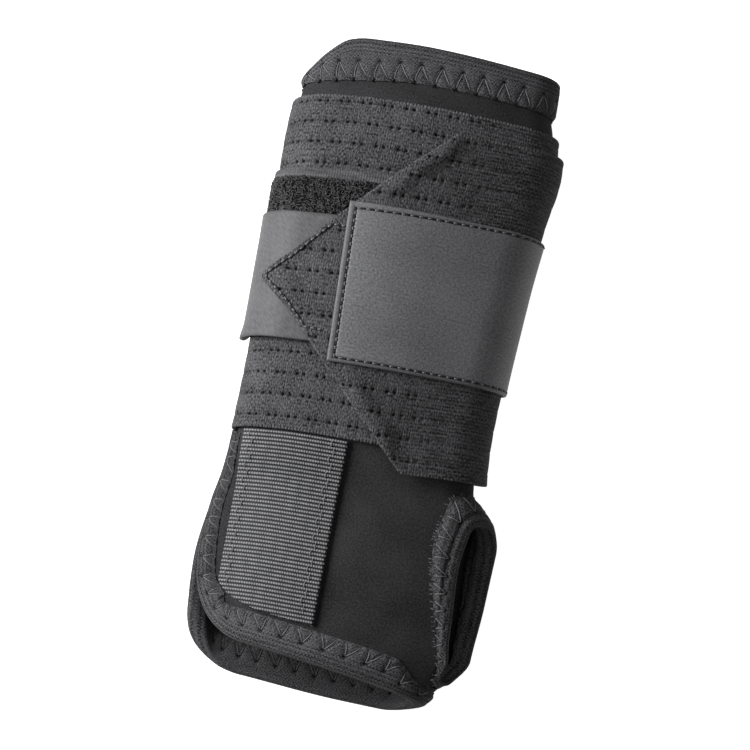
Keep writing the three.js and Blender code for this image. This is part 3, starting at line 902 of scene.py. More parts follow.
@dataclass(frozen=True)
class PerforatedElastic(Finish):
    """Elastic knit of fine columns of loops, with rows of holes and a beaded selvage.

    Attributes:
        turn_length: the length of strap from the fold round to the fold.
        drawn: how far from the fold the elastic starts to slacken, and where it is slack.
    """

    column: float = 0.67
    lattice: Pair = (1.3, 1.6)
    speck: Pair = (0.36, 0.85)
    cloud: Pair = (9.0, 9.0)
    streak: Pair = (5.0, 0.8)
    rib_pitch: float = 1.0
    selvage: Pair = (48.8, 49.2)
    bead_pitch: float = 0.97
    holes: Perforation = PERFORATION
    hole_core: float = 0.7
    row_line: Pair = (0.12, 0.5)
    dot_pitch: float = 1.05
    turn_length: float = 176.4
    drawn: Pair = (20.0, 40.0)

    def hole(self, tree: FinishTree, along: Sock, across: Sock) -> tuple[Sock, Sock]:
        """How far a point is in a hole and in the pressed line of a row.

        Args:
            tree: the material's node tree.
            along: how far along the strap the point is.
            across: how far across it.

        Returns:
            Both, from 0 to 1.
        """
        holes = self.holes
        row = (holes.edge - holes.first_row - across) / holes.row_pitch
        nearest = row.whole()
        cell = along / holes.pair_pitch + tree.math("FLOORED_MODULO", nearest, 2.0) * 0.5
        from_row = (row - nearest) * holes.row_pitch
        from_hole = (cell - cell.whole()).size() * holes.pair_pitch - holes.pair_gap / 2
        in_hole = 1 - from_row.to(from_hole).step(holes.radius * self.hole_core, holes.radius * holes.spread)
        return in_hole, 1 - from_row.size().step(*self.row_line)

    def pattern(self, tree: FinishTree) -> Look:
        """Light loops on dark ground, painted shade in the holes where the mark allows them, a painted
        highlight along the edges, and streaks where drawn tight.

        Args:
            tree: the material's node tree.

        Returns:
            How light the surface is, and its relief.
        """
        along, across, open_face = tree.lay()
        turn = along / self.turn_length
        slack = ((turn - turn.whole()).size() * self.turn_length).step(*self.drawn)
        columns = along.wave(self.column)
        lattice = (along.wave(self.lattice[0]) * 2 - 1) * (across.wave(self.lattice[1]) * 2 - 1)
        speck = tree.grain(along, across, self.speck)
        cloud = tree.grain(along, across, self.cloud)
        rib = across.wave(self.rib_pitch) - 0.5
        streak = (tree.grain(along, across, self.streak) - 0.5) * (1 - slack)
        bead = (along.wave(self.bead_pitch) - 0.3) * across.size().step(*self.selvage)
        light = 0.36 + (speck - 0.5) * (1.3 + columns * 1.2) + (columns - 0.5) * 0.16
        light = light + lattice * 0.08 + rib * (0.22 - slack * 0.12) + streak
        light = light + (cloud - 0.5) * 0.45 + bead * 0.22
        # Painted shade in the holes and in dots along the pressed line of each row.
        hole, line = self.hole(tree, along, across)
        dots = line * (0.16 + along.wave(self.dot_pitch) * 0.26)
        sunk = tree.math("MAXIMUM", hole, dots) * open_face * (0.42 + slack * 0.58)
        # Painted highlight: the strap is lighter along its edges, where the mark falls towards 0.
        light = light * (1 - sunk) * (1.15 - open_face * 0.15) * (0.9 + slack * 0.1)
        return light, speck * 0.6 + columns * 0.2 + bead + rib * (0.2 - slack * 0.2) + streak - sunk * 0.8


@dataclass(frozen=True)
class LoopPile(Finish):
    """Dark matted ground with a pale, unevenly woven selvage."""

    rib_pitch: float = 0.75
    mat: Pair = (0.6, 0.6)
    patch: Pair = (6.0, 1.2)

    def pattern(self, tree: FinishTree) -> Look:
        """Matted ground, and ribs on the selvage, which the mark names.

        Args:
            tree: the material's node tree.

        Returns:
            How light the surface is, and its relief.
        """
        along, across, selvage = tree.lay()
        matted = tree.grain(along, across, self.mat, FINE_DETAIL)
        uneven = tree.grain(along, across, self.patch)
        rib = along.wave(self.rib_pitch)
        woven = (0.26 + rib * 0.06) * (0.1 + uneven * 1.6) + (matted - 0.5) * 0.4
        return matted * 0.06 * (1 - selvage) + woven * selvage, matted * (1 - selvage) + rib * selvage * 0.4


@dataclass(frozen=True)
class PileLoop(Finish):
    """One loop of the pile, with a painted highlight at its crest."""

    ply: float = 0.3

    def pattern(self, tree: FinishTree) -> Look:
        """Painted shade at both roots of a loop and a painted highlight at its crest, with some loops lighter
        than others.
        """
        along, _, crest = tree.lay()
        return crest, along.wave(self.ply)


@dataclass(frozen=True)
class BrushedCoat(Finish):
    """Smooth grey coat, brushed on the slant."""

    slant: float = 0.7
    stroke: Pair = (0.32, 1.7)
    cloud: Pair = (9.0, 9.0)

    def pattern(self, tree: FinishTree) -> Look:
        """Short slanted strokes on slow clouds, with painted shade along the edges.

        Args:
            tree: the material's node tree.

        Returns:
            How light the surface is, and its relief.
        """
        along, across, edge = tree.lay()
        slanted, other = along * self.slant, across * self.slant
        stroke = tree.grain(slanted - other, slanted + other, self.stroke)
        cloud = tree.grain(along, across, self.cloud)
        # Painted shade along all of the tab's edges.
        return 0.55 + (stroke - 0.5) * 2.2 + (cloud - 0.5) * 0.6 - edge * 0.5, stroke


@dataclass(frozen=True)
class GrainedRubber(Finish):
    """Fine-grained grey sheet, with painted shade in its sewn groove."""

    fine: Pair = (0.6, 0.6)
    cloud: Pair = (16.0, 16.0)

    def pattern(self, tree: FinishTree) -> Look:
        """Fine grain on slow clouds.

        Args:
            tree: the material's node tree.

        Returns:
            How light the surface is, and its relief.
        """
        along, across, groove = tree.lay()
        fine = tree.grain(along, across, self.fine, FINE_DETAIL)
        cloud = tree.grain(along, across, self.cloud)
        # The mark darkens the groove as painted shade, and the lower and end borders too.
        return (0.55 + (fine - 0.5) * 2.0 + (cloud - 0.5) * 0.6) * (1 - groove * 0.95), fine


@dataclass(frozen=True)
class RibbedWebbing(Finish):
    """Nylon weave whose floats catch the light."""

    fibre: Pair = (0.6, 0.08)
    wear: Pair = (3.0, 3.0)
    lit: Pair = (0.42, 0.97)

    def pattern(self, tree: FinishTree) -> Look:
        """As light as the weave is high, with fibres along the floats.

        Args:
            tree: the material's node tree.

        Returns:
            How light the surface is, and its relief.
        """
        along, across, high = tree.lay()
        fibre = tree.grain(along, across, self.fibre)
        worn = tree.grain(along, across, self.wear)
        return high.step(*self.lit) * (0.5 + fibre * 0.5 + (worn - 0.5) * 0.6), fibre


@dataclass(frozen=True)
class Twine(Finish):
    """Sewing thread with a visible twist, darkened by its mark as painted shade."""

    twist: float = 0.55

    def pattern(self, tree: FinishTree) -> Look:
        """Twisted plies round the thread.

        Args:
            tree: the material's node tree.

        Returns:
            How light the surface is, and its relief.
        """
        along, turned, sunk = tree.lay()
        ply = (along + turned * (self.twist / TAU)).wave(self.twist)
        # The mark paints shade: in the needle holes, on the threads of the wrap's inner faces and in the arcs
        # at the tape's edge.
        return (0.4 + ply * 0.6) * (1 - sunk), ply


JERSEY = Jersey(grey(0.012), grey(0.04), 0.95, 0.15, 0.08)
BINDING = BindingKnit(grey(0.006), grey(0.125), 0.95, 0.15, 0.1)
# Painted light on the thumb tape's inner face, seen through the thumb hole.
THUMB_BINDING = BindingKnit(grey(0.006), grey(0.105), 0.95, 0.15, 0.1, inner=2.2)
ELASTIC = PerforatedElastic(grey(0.004), grey(0.15), 0.9, 0.2, 0.12)
PILE = LoopPile(grey(0.004), grey(0.3), 1.0, 0.1, 0.2)
PILE_LOOP = PileLoop(grey(0.004), grey(0.085), 0.7, 0.3, 0.03)
HOOK_COAT = BrushedCoat(grey(0.04), grey(0.095), 0.6, 0.3, 0.06)
RUBBER = GrainedRubber(grey(0.045), grey(0.175), 0.58, 0.45, 0.06)
WEBBING = RibbedWebbing(grey(0.004), grey(0.3), 0.6, 0.3, 0.03)
THREAD = Twine(grey(0.003), grey(0.19), 0.6, 0.3, 0.05)


def dress(piece: bpy.types.Object, finish: Finish, slot: Slot, node: str | None = None) -> bpy.types.Object:
    """Gives a piece its finish and its place in the frame.

    Args:
        piece: the piece.
        finish: its finish.
        slot: the record's material slot for the piece; not used.
        node: the solid that it stands for, if any.

    Returns:
        The piece.
    """
    piece.data.materials.append(finish.material())
    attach(piece, "root")
    if node is not None:
        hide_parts(node)
    log.info("%s: %d faces", piece.name, len(piece.data.polygons))
    return piece


@dataclass
class Wrap:
    """The neoprene wrap, folded at the thumb side, with rounded corners and an oval thumb hole."""

    corner_steps: int = 14
    rows: int = 150
    columns: int = 190
    thumb_around: float = 6.2
    thumb_y: float = -61.0
    thumb_half_width: float = 12.6
    thumb_half_length: float = 24.2
    thumb_roundness: float = 2.3
    thumb_lean: float = 0.08

    def reach(self, share: Array, y: Array) -> Array:
        """Distance from the fold to the open edge of the flap that a share lies on.

        Args:
            share: shares of the way from the fold, below 0 on the back flap.
            y: places along the arm.

        Returns:
            The distances.
        """
        section = FACE.section(y)
        front = section.front - read(FLAP_EDGES, "front", y)
        back = section.back - read(FLAP_EDGES, "back", y)
        return np.where(share >= 0, front, back)

    def near_rim(self, end: End, share: Array, bow: Array, tuck: Array) -> Places:
        """Places beside an end's rim, within the rounding of its corners.

        Args:
            end: which end.
            share: shares of the way from the fold to the open edge.
            bow: how far from the rim the places lie, as a share of the rounding along the arm.
            tuck: how far the open edge is drawn in, as a share of the rounding across it.

        Returns:
            The distances around and along.
        """
        rim, corner = (FOREARM_RIM, FOREARM_CORNER) if end is End.FOREARM else (HAND_RIM, HAND_CORNER)
        y = follow(rim, share) - end.value * read(corner, "along", share) * bow
        return share * (self.reach(share, y) - read(corner, "across", share) * tuck), y

    def thumb_edge(self, steps: int) -> Places:
        """Places round the edge of the thumb hole.

        Args:
            steps: how many steps the way round has.

        Returns:
            The distances around and along.
        """
        turn = np.linspace(0, TAU, steps + 1)
        power = 2 / self.thumb_roundness
        across, up = (np.sign(v) * np.abs(v) ** power for v in (np.cos(turn), np.sin(turn)))
        up = up * self.thumb_half_length
        return self.thumb_around + self.thumb_half_width * across + self.thumb_lean * up, self.thumb_y + up

    def in_thumb_hole(self, around: Array, y: Array) -> Array:
        """Which places lie in the thumb hole.

        Args:
            around: distances around.
            y: places along the arm.

        Returns:
            True for each place that does.
        """
        up = y - self.thumb_y
        across = (around - self.thumb_around - self.thumb_lean * up) / self.thumb_half_width
        power = self.thumb_roundness
        return np.abs(across) ** power + np.abs(up / self.thumb_half_length) ** power < 1

    def places(self) -> Places:
        """Places of the whole wrap, in rows from the forearm rim to the hand rim.

        Returns:
            The distances around and along.
        """
        share = np.linspace(1, -1, self.columns)
        turn = np.linspace(0, math.pi / 2, self.corner_steps)[:, None]
        bow, tuck = 1 - np.cos(turn), 1 - np.sin(turn)
        first = self.near_rim(End.FOREARM, share, bow, tuck)
        last = self.near_rim(End.HAND, share, bow, tuck)
        down = np.linspace(0, 1, self.rows)[1:-1, None]
        y = mix(first[1][-1], last[1][-1], down)
        middle = (share * self.reach(share, y), y)
        return tuple(np.concatenate([first[k], middle[k], last[k][::-1]]) for k in range(2))

    def build(self) -> None:
        around, y = self.places()
        inside = self.in_thumb_hole(around, y)
        keep = ~(inside[:-1, :-1] | inside[1:, :-1] | inside[1:, 1:] | inside[:-1, 1:])
        outer, inner = FACE.place(around, y, 0.0), FACE.place(around, y, -LAYERS.wall)
        piece = make_piece("wrap_jersey", closed_sheet(outer, inner, lay_of(around, y, 0.0), keep))
        dress(piece, JERSEY, Slot.NEOPRENE, "wrap_body")
        middle = FACE.place(around, y, -LAYERS.wall / 2)
        cloth_area(middle, keep)


@dataclass(frozen=True)
class EdgePath:
    """A path along an edge of the wrap in equal steps, with the way out of the wrap and the tape's width."""

    along: Array
    around: Array
    y: Array
    out_around: Array
    out_y: Array
    flange: Array

    @classmethod
    def through(cls, places: Sequence[Array], inside: int, closed: bool, reach: float) -> "EdgePath":
        """Lays a path through places.

        Args:
            places: distances around, distances along and the tape's width at each place.
            inside: 1 or -1, for the side of the path on which the wrap lies.
            closed: whether the path runs back into its start.
            reach: over what distance to either side the path's direction is evened out.

        Returns:
            The path.
        """
        spot = FACE.spot(places[0], places[1], 0.0)
        far = np.concatenate([[0], np.cumsum(np.linalg.norm(np.diff(spot, axis=0), axis=1))])
        along = np.linspace(0, far[-1], math.ceil(far[-1] / PATH_STEP) + 1)
        around, y, flange = (np.interp(along, far, values) for values in places)
        over_around = FACE.spot(around + NUDGE, y, 0.0) - FACE.spot(around - NUDGE, y, 0.0)
        over_y = FACE.spot(around, y + NUDGE, 0.0) - FACE.spot(around, y - NUDGE, 0.0)
        over_around, over_y = over_around / (2 * NUDGE), over_y / (2 * NUDGE)
        count = round(reach / PATH_STEP)
        d_around, d_y = (cls.smooth(np.gradient(values), closed, count) for values in (around, y))
        path = over_around * d_around[:, None] + over_y * d_y[:, None]
        out_around, out_y = np.sum(path * over_y, axis=1), -np.sum(path * over_around, axis=1)
        length = np.linalg.norm(over_around * out_around[:, None] + over_y * out_y[:, None], axis=1)
        return cls(along, around, y, inside * out_around / length, inside * out_y / length, flange)

    @staticmethod
    def smooth(values: Array, closed: bool, reach: int) -> Array:
        """Running mean of values.

        Args:
            values: the values at each step of a path.
            closed: whether the path runs back into its start.
            reach: over how many steps to either side the mean is taken.

        Returns:
            The means.
        """
        if closed:
            padded = np.concatenate([values[-1 - reach:-1], values, values[1:1 + reach]])
        else:
            padded = np.pad(values, reach, mode="edge")
        return np.convolve(padded, np.full(2 * reach + 1, 1 / (2 * reach + 1)), mode="valid")

    def steps(self, length: float) -> int:
        """How many steps of the path make up a length."""
        return round(length / float(self.along[1]))

    def read(self, name: str, along: Array) -> Array:
        """Reads one of the path's values at distances along it."""
        return np.interp(along, self.along, getattr(self, name))

    def beside(self, along: Array, out: Array) -> Places:
        """Places at distances along the path and out over the edge."""
        around = self.read("around", along) + self.read("out_around", along) * out
        return around, self.read("y", along) + self.read("out_y", along) * out


class TapeProfile(NamedTuple):
    """The folded tape across its path, in columns from one edge over the fold to the other.

    Each is an array of a row for each step along the path: how far out the outer and the inner face lie,
    their heights, and the distance from the fold with its sign.
    """

    outer_out: Array
    inner_out: Array
    outer: Array
    inner: Array
    across: Array


@dataclass
class Binding:
    """Knit tape folded over an edge of the wrap, held by a zigzag stitch through both its faces.

    Attributes:
        feet: where the two legs of a tooth end along the path, from its point, as shares of the pitch.
        foot: where its feet lie, as a share of the tape's width from the fold.
        point: the least such share for its point.
        shade_arc_dip: how far the dark arcs of painted shade between two teeth dip over the tape's edge,
            nothing where they don't show.
        press: how deep the legs are pressed into the tape, and over what reach; hole and leg_mark likewise.
        puff: how far the tape puffs up between legs, and over what reach it doesn't.
    """

    name: str
    node: str
    path: EdgePath
    pitch: float = 6.2
    feet: Pair = (-0.36, 0.36)
    point: float = 0.3
    foot: float = 0.95
    tooth: float = 4.2
    roll: float = 0.0
    roll_mark: float = 0.75
    fringe: float = 0.0
    fringe_drift: Pair = (-0.5, 0.5)
    fringe_length: Pair = (0.7, 1.5)
    fringe_root: float = 0.3
    fringe_tip: float = 0.15
    flat_steps: int = 21
    nose_steps: int = 9
    press: Pair = (0.24, 0.6)
    hole: Pair = (0.45, 0.6)
    puff: Pair = (0.16, 1.4)
    puff_from: Pair = (0.4, 2.0)
    leg_mark: Pair = (0.35, 0.4)
    leg_bow: float = 0.456
    leg_sunk: float = 0.3
    # Dark arcs that paint the shade at the tape's edge, between the feet of neighbouring teeth.
    shade_arc_dip: float = 0.0
    shade_arc_from: float = 6.0
    shade_arc_back: float = 0.3
    shade_arc_radius: float = 0.272
    shade_arc_rise: float = 0.1
    edge_thick: float = 0.34
    edge_gap: float = 0.08
    sewn_over: float = 2.4
    thread: float = 0.16
    # Painted shade on the zigzag's threads on the wrap's inner face.
    inner_shade_mark: float = 0.6
    narrow_mark: float = 0.0
    narrow: Pair = (7.0, 5.2)
    finish: BindingKnit = BINDING

    def teeth(self) -> int:
        """How many teeth the zigzag has."""
        return round(self.path.along[-1] / self.pitch)

    def tooth_pitch(self) -> float:
        """Pitch at which whole teeth fill the path."""
        return self.path.along[-1] / self.teeth()

    def stitch_distance(self, along: Array, inward: Array) -> tuple[Array, Array]:
        """How far places are from the zigzag's legs and from its points.

        Args:
            along: distances along the path.
            inward: distances from the fold.

        Returns:
            The distance to the nearest leg and to the nearest point.
        """
        pitch = self.tooth_pitch()
        x = np.mod(along, pitch) - pitch / 2
        flange = self.path.read("flange", along)
        high = flange * self.foot
        low = np.maximum(high - self.tooth, flange * self.point)
        leg = np.full(x.shape, np.inf)
        for shift in (-pitch, 0.0, pitch):
            for side in self.feet:
                dx, dy = side * pitch, high - low
                t = np.clip(((x - shift) * dx + (inward - low) * dy) / (dx * dx + dy * dy), 0, 1)
                leg = np.minimum(leg, np.hypot(x - shift - t * dx, inward - low - t * dy))
        return leg, np.hypot(x, inward - low)

    def profile(self) -> TapeProfile:
        """The folded tape across its path, for each step along it.

        Returns:
            The profile.
        """
        flange = self.path.flange[:, None]
        ones = np.ones_like(flange)
        border = np.array(EDGE_STEPS)
        inside = np.linspace(0, 1, self.flat_steps + 1)[1:]
        from_edge = np.concatenate([border * ones, mix(border[-1], flange, inside)], axis=1)
        inward = flange - from_edge
        turn = np.linspace(math.pi / 2, -math.pi / 2, self.nose_steps + 2)[1:-1]
        rise = rounded(from_edge, self.edge_thick / 2) / 2
        half = LAYERS.wall / 2
        sewn_down = ease(from_edge, self.sewn_over, 0.0)
        thick = mix(LAYERS.tape, self.edge_thick, sewn_down)
        bottom = half + mix(LAYERS.tape_gap, self.edge_gap, sewn_down)
        over, under = bottom + thick * (0.5 + rise), bottom + thick * (0.5 - rise)
        over_nose = (half + LAYERS.tape_face) * np.sin(turn) * ones
        under_nose = (half + LAYERS.tape_gap) * np.sin(turn) * ones
        bend = LAYERS.tape_face * (turn - math.pi / 2) * ones
        back = -inward[:, ::-1]
        return TapeProfile(
            np.concatenate([-inward, LAYERS.tape_face * np.cos(turn) * ones, back], axis=1),
            np.concatenate([-inward, LAYERS.tape_gap * np.cos(turn) * ones, back], axis=1),
            np.concatenate([over, over_nose, -over[:, ::-1]], axis=1) - half,
            np.concatenate([under, under_nose, -under[:, ::-1]], axis=1) - half,
            np.concatenate([inward, bend, back - LAYERS.tape_face * math.pi], axis=1),
        )

    def surface(self) -> tuple[Cloth, Array]:
        """The tape pressed in along its stitches.

        Returns:
            The mesh, and the points of the tape's middle.
        """
        tape = self.profile()
        along = self.path.along[:, None] * np.ones_like(tape.across)
        inward = np.maximum(-tape.outer_out, 0)
        leg, point = self.stitch_distance(along, inward)
        flat = ease(inward, 0.0, 1.0)
        (press, press_reach), (hole, hole_reach), (puff, puff_reach) = self.press, self.hole, self.puff
        leg_mark, line_reach = self.leg_mark
        holes = bell(point, hole_reach) * flat
        puffed = (1 - bell(leg, puff_reach)) * ease(inward, *self.puff_from)
        move = puff * puffed - press * bell(leg, press_reach) * flat - hole * holes
        # Painted shade: the mark darkens the tape at the needle's holes and along the pressed legs.
        marks = holes + leg_mark * bell(leg, line_reach) * flat
        marks = np.maximum(marks, self.narrow_mark * ease(self.path.flange[:, None], *self.narrow))
        if self.roll:
            groove = bell(inward - self.roll, line_reach)
            move = move + puff * bell(inward - self.roll / 2, self.roll / 2) - hole * groove
            # Painted shade in the roll's groove.
            marks = np.maximum(marks, self.roll_mark * groove)
        side = np.where(tape.outer + LAYERS.wall / 2 > 0, 1, -1)
        around, y = self.path.beside(along, tape.outer_out)
        outer_points = FACE.place(around, y, tape.outer + side * move)
        inner_points = FACE.place(*self.path.beside(along, tape.inner_out), tape.inner)
        lay = lay_of(along, tape.across, np.minimum(marks, 1))
        middle = FACE.place(around, y, (tape.outer + tape.inner) / 2)
        return closed_sheet(outer_points, inner_points, lay), middle

    def legs(self) -> list[Cloth]:
        """The zigzag's threads on both faces of the tape.

        Returns:
            A mesh for each leg of the teeth and each face.
        """
        pitch = self.tooth_pitch()
        share = np.linspace(0, 1, 11)
        middle = (np.arange(self.teeth())[:, None] + 0.5) * pitch
        cloths = []
        for side in self.feet:
            along = middle + side * pitch * share
            flange = self.path.read("flange", along)
            high = flange * self.foot
            inward = mix(np.maximum(high - self.tooth, flange * self.point), high, share)
            sewn_down = ease(flange - inward, self.sewn_over, 0.0)
            face = mix(LAYERS.tape_face, self.edge_gap + self.edge_thick, sewn_down)
            height = face - self.press[0] + arched(share) * self.leg_bow - self.leg_sunk
            around, y = self.path.beside(along, -inward)
            facing = FACE.facing(around, y)
            cloths.append(tubes(FACE.place(around, y, height), facing, self.thread))
            inside = FACE.place(around, y, -LAYERS.wall - height)
            # The threads inside take painted shade by inner_shade_mark.
            cloths.append(tubes(inside, -facing, self.thread, self.inner_shade_mark))
        return cloths

    def painted_shade_arcs(self) -> Cloth:
        """Dark arcs of painted shade on the wrap, between the feet of neighbouring teeth at the tape's edge.

        Returns:
            The arcs as one mesh.
        """
        pitch = self.tooth_pitch()
        share = np.linspace(0, 1, 9)
        middle = (np.arange(self.teeth() - 1)[:, None] + 0.5) * pitch
        along = middle + pitch * mix(self.feet[1], 1 + self.feet[0], share)
        along = along[self.path.read("around", along).min(axis=1) > self.shade_arc_from]
        dip = self.shade_arc_dip * (np.sin(math.pi * share) - self.shade_arc_back)
        inward = self.path.read("flange", along) * self.foot + dip
        around, y = self.path.beside(along, -inward)
        height = self.edge_gap + self.edge_thick + self.shade_arc_rise
        return tubes(FACE.place(around, y, height), FACE.facing(around, y), self.shade_arc_radius, mark=1.0)

    def loose_ends(self) -> Cloth:
        """Fine thread ends that stand out of the tape's edge over the wrap.

        Returns:
            The ends as one mesh.
        """
        rng = np.random.default_rng(SEED)
        count = round(self.path.along[-1] * self.fringe)
        start = rng.uniform(0, self.path.along[-1], count)[:, None]
        share = np.linspace(0, 1, 4)
        along = start + rng.uniform(*self.fringe_drift, count)[:, None] * share
        root = self.path.read("flange", start) - self.fringe_root
        around, y = self.path.beside(along, -root - rng.uniform(*self.fringe_length, count)[:, None] * share)
        height = mix(self.edge_gap + self.edge_thick, self.fringe_tip, share) * np.ones_like(along)
        return tubes(FACE.place(around, y, height), FACE.facing(around, y), self.thread / 2, sides=4)

    def build(self) -> None:
        cloth, middle = self.surface()
        piece = dress(make_piece(f"{self.name}_tape", cloth), self.finish, Slot.TAPE, self.node)
        cloths = self.legs()
        # Dark arcs of painted shade at the tape's edge.
        if self.shade_arc_dip:
            cloths.append(self.painted_shade_arcs())
        if self.fringe:
            cloths.append(self.loose_ends())
        threads = dress(make_piece(f"{self.name}_stitches", join(cloths)), THREAD, Slot.TAPE)
        width = 2 * self.path.flange.max() + math.pi * LAYERS.tape_face
        flat = (width * MM, self.path.along[-1] * MM)
        area = min(cloth_area(middle), flat[0] * flat[1])


@dataclass
class Bindings:
    """The three bound edges: the forearm end, the hand end and the thumb hole.

    Attributes:
        hand_share: the share that the hand's tape takes of the web between it and the thumb hole.
        thumb_share: the share that the thumb's tape takes of it.
    """

    wrap: Wrap
    strap: "Strap"
    side: float = 5.6
    forearm_at_strap: float = 1.9
    hand_at_strap: float = 4.4
    ease_over: float = 16.0
    thumb_wide: float = 8.0
    hand_share: float = 0.8
    thumb_share: float = 0.2
    thumb_least: float = 1.0
    forearm_clear: float = 0.6
    hand_clear: float = 0.4
    end_even: float = 7.0
    thumb_even: float = 4.0
    level_over: Pair = (82.2, 84.5)
    level_even: float = 2.5
    slanted: Pair = (-0.1, 0.55)
    fine: int = 240

    def rim(self, end: End) -> tuple[Array, Places]:
        """The middle of an end's rim, as shares of the way to the open edges and as places."""
        share = np.linspace(1, -1, 4 * self.fine)[1:-1]
        return share, self.wrap.near_rim(end, share, 0.0, 1.0)

    def nearest(self, places: Places, others: Places) -> Array:
        """How far each place is from the nearest of some others."""
        return np.hypot(*(a[:, None] - b for a, b in zip(places, others))).min(axis=1)

    def flap_side(self, end: End, share: float) -> tuple[Array, Array, Array]:
        """The path up a flap's open edge from the strap and round its corner.

        Args:
            end: which end.
            share: 1 for the front flap and -1 for the back.

        Returns:
            Distances around, distances along and the tape's widths.
        """
        forearm = end is End.FOREARM
        at_strap = self.forearm_at_strap if forearm else self.hand_at_strap
        clear = self.forearm_clear if forearm else self.hand_clear
        edge = self.strap.middle(OPEN_SIDE) + end.value * (self.strap.width / 2 + clear)
        shares = np.full(self.fine, share)
        turn = np.linspace(math.pi / 2, 0, self.fine)
        corner = self.wrap.near_rim(end, shares, 1 - np.cos(turn), 1 - np.sin(turn))
        y = np.linspace(edge, corner[1][0], self.fine)[:-1]
        straight = shares[:-1] * self.wrap.reach(shares[:-1], y)
        around, along = np.concatenate([straight, corner[0]]), np.concatenate([y, corner[1]])
        beside = mix(at_strap, self.side, ease(np.abs(along - edge), 0, self.ease_over))
        widest = follow(FOREARM_TAPE if forearm else HAND_TAPE, share)
        return around, along, mix(beside, widest, np.concatenate([np.zeros_like(y), np.cos(turn)]))

    def end_path(self, end: End) -> EdgePath:
        """The path round one end of the wrap, from the strap's edge on the front to its edge on the back.

        Args:
            end: which end.

        Returns:
            The path.
        """
        share, places = self.rim(end)
        widest = follow(FOREARM_TAPE if end is End.FOREARM else HAND_TAPE, share)
        room = self.hand_share * self.nearest(places, self.wrap.thumb_edge(self.fine)) - LAYERS.gap
        front, back = self.flap_side(end, 1.0), self.flap_side(end, -1.0)
        parts = [front, (*places, np.minimum(widest, room)), tuple(values[::-1] for values in back)]
        joined = [np.concatenate([part[k] for part in parts]) for k in range(3)]
        path = EdgePath.through(joined, end.value, closed=False, reach=self.end_even)
        return self.levelled(path) if end is End.FOREARM else path

    def levelled(self, path: EdgePath) -> EdgePath:
        """The forearm's path with the tape laid straight down the arm over the front flap's corner.

        Args:
            path: the path with the tape square to the edge.

        Returns:
            The path with the directions and widths that bring the inner edge to its line.
        """
        level = ease(path.y, *self.level_over) * (path.around > 0)
        deep = np.maximum(path.y - follow(FOREARM_TAPE_EDGE, path.around), path.flange.min())
        turned = {
            "out_around": path.out_around * (1 - level),
            "out_y": mix(path.out_y, 1.0, level),
            "flange": mix(path.flange, deep, level),
        }
        count = path.steps(self.level_even)
        return replace(path, **{name: path.smooth(values, False, count) for name, values in turned.items()})

    def thumb_path(self) -> EdgePath:
        """The path round the thumb hole.

        Returns:
            The path.
        """
        places = self.wrap.thumb_edge(4 * self.fine)
        room = self.thumb_share * self.nearest(places, self.rim(End.HAND)[1]) - LAYERS.gap
        flange = np.clip(room, self.thumb_least, self.thumb_wide)
        return EdgePath.through([*places, flange], -1, closed=True, reach=self.thumb_even)

    def build(self) -> EdgePath:
        """Makes the three bindings.

        Returns:
            The path of the hand's binding, which the webbing stays clear of.
        """
        hand, slanted = self.end_path(End.HAND), self.slanted
        # The forearm's tape gets dark arcs of painted shade along its edge.
        Binding("top", "top_binding", self.end_path(End.FOREARM), tooth=5.4, shade_arc_dip=1.0).build()
        Binding("hand", "hand_binding", hand, pitch=6.0, feet=slanted, narrow_mark=0.42).build()
        thumb = Binding("thumb", "thumb_binding", self.thumb_path(), pitch=4.8, feet=slanted, tooth=4.6)
        # The thumb's tape takes painted light on its inner face and no painted shade on its inner threads.
        replace(thumb, roll=2.8, fringe=1.4, finish=THUMB_BINDING, inner_shade_mark=0.0).build()
        return hand


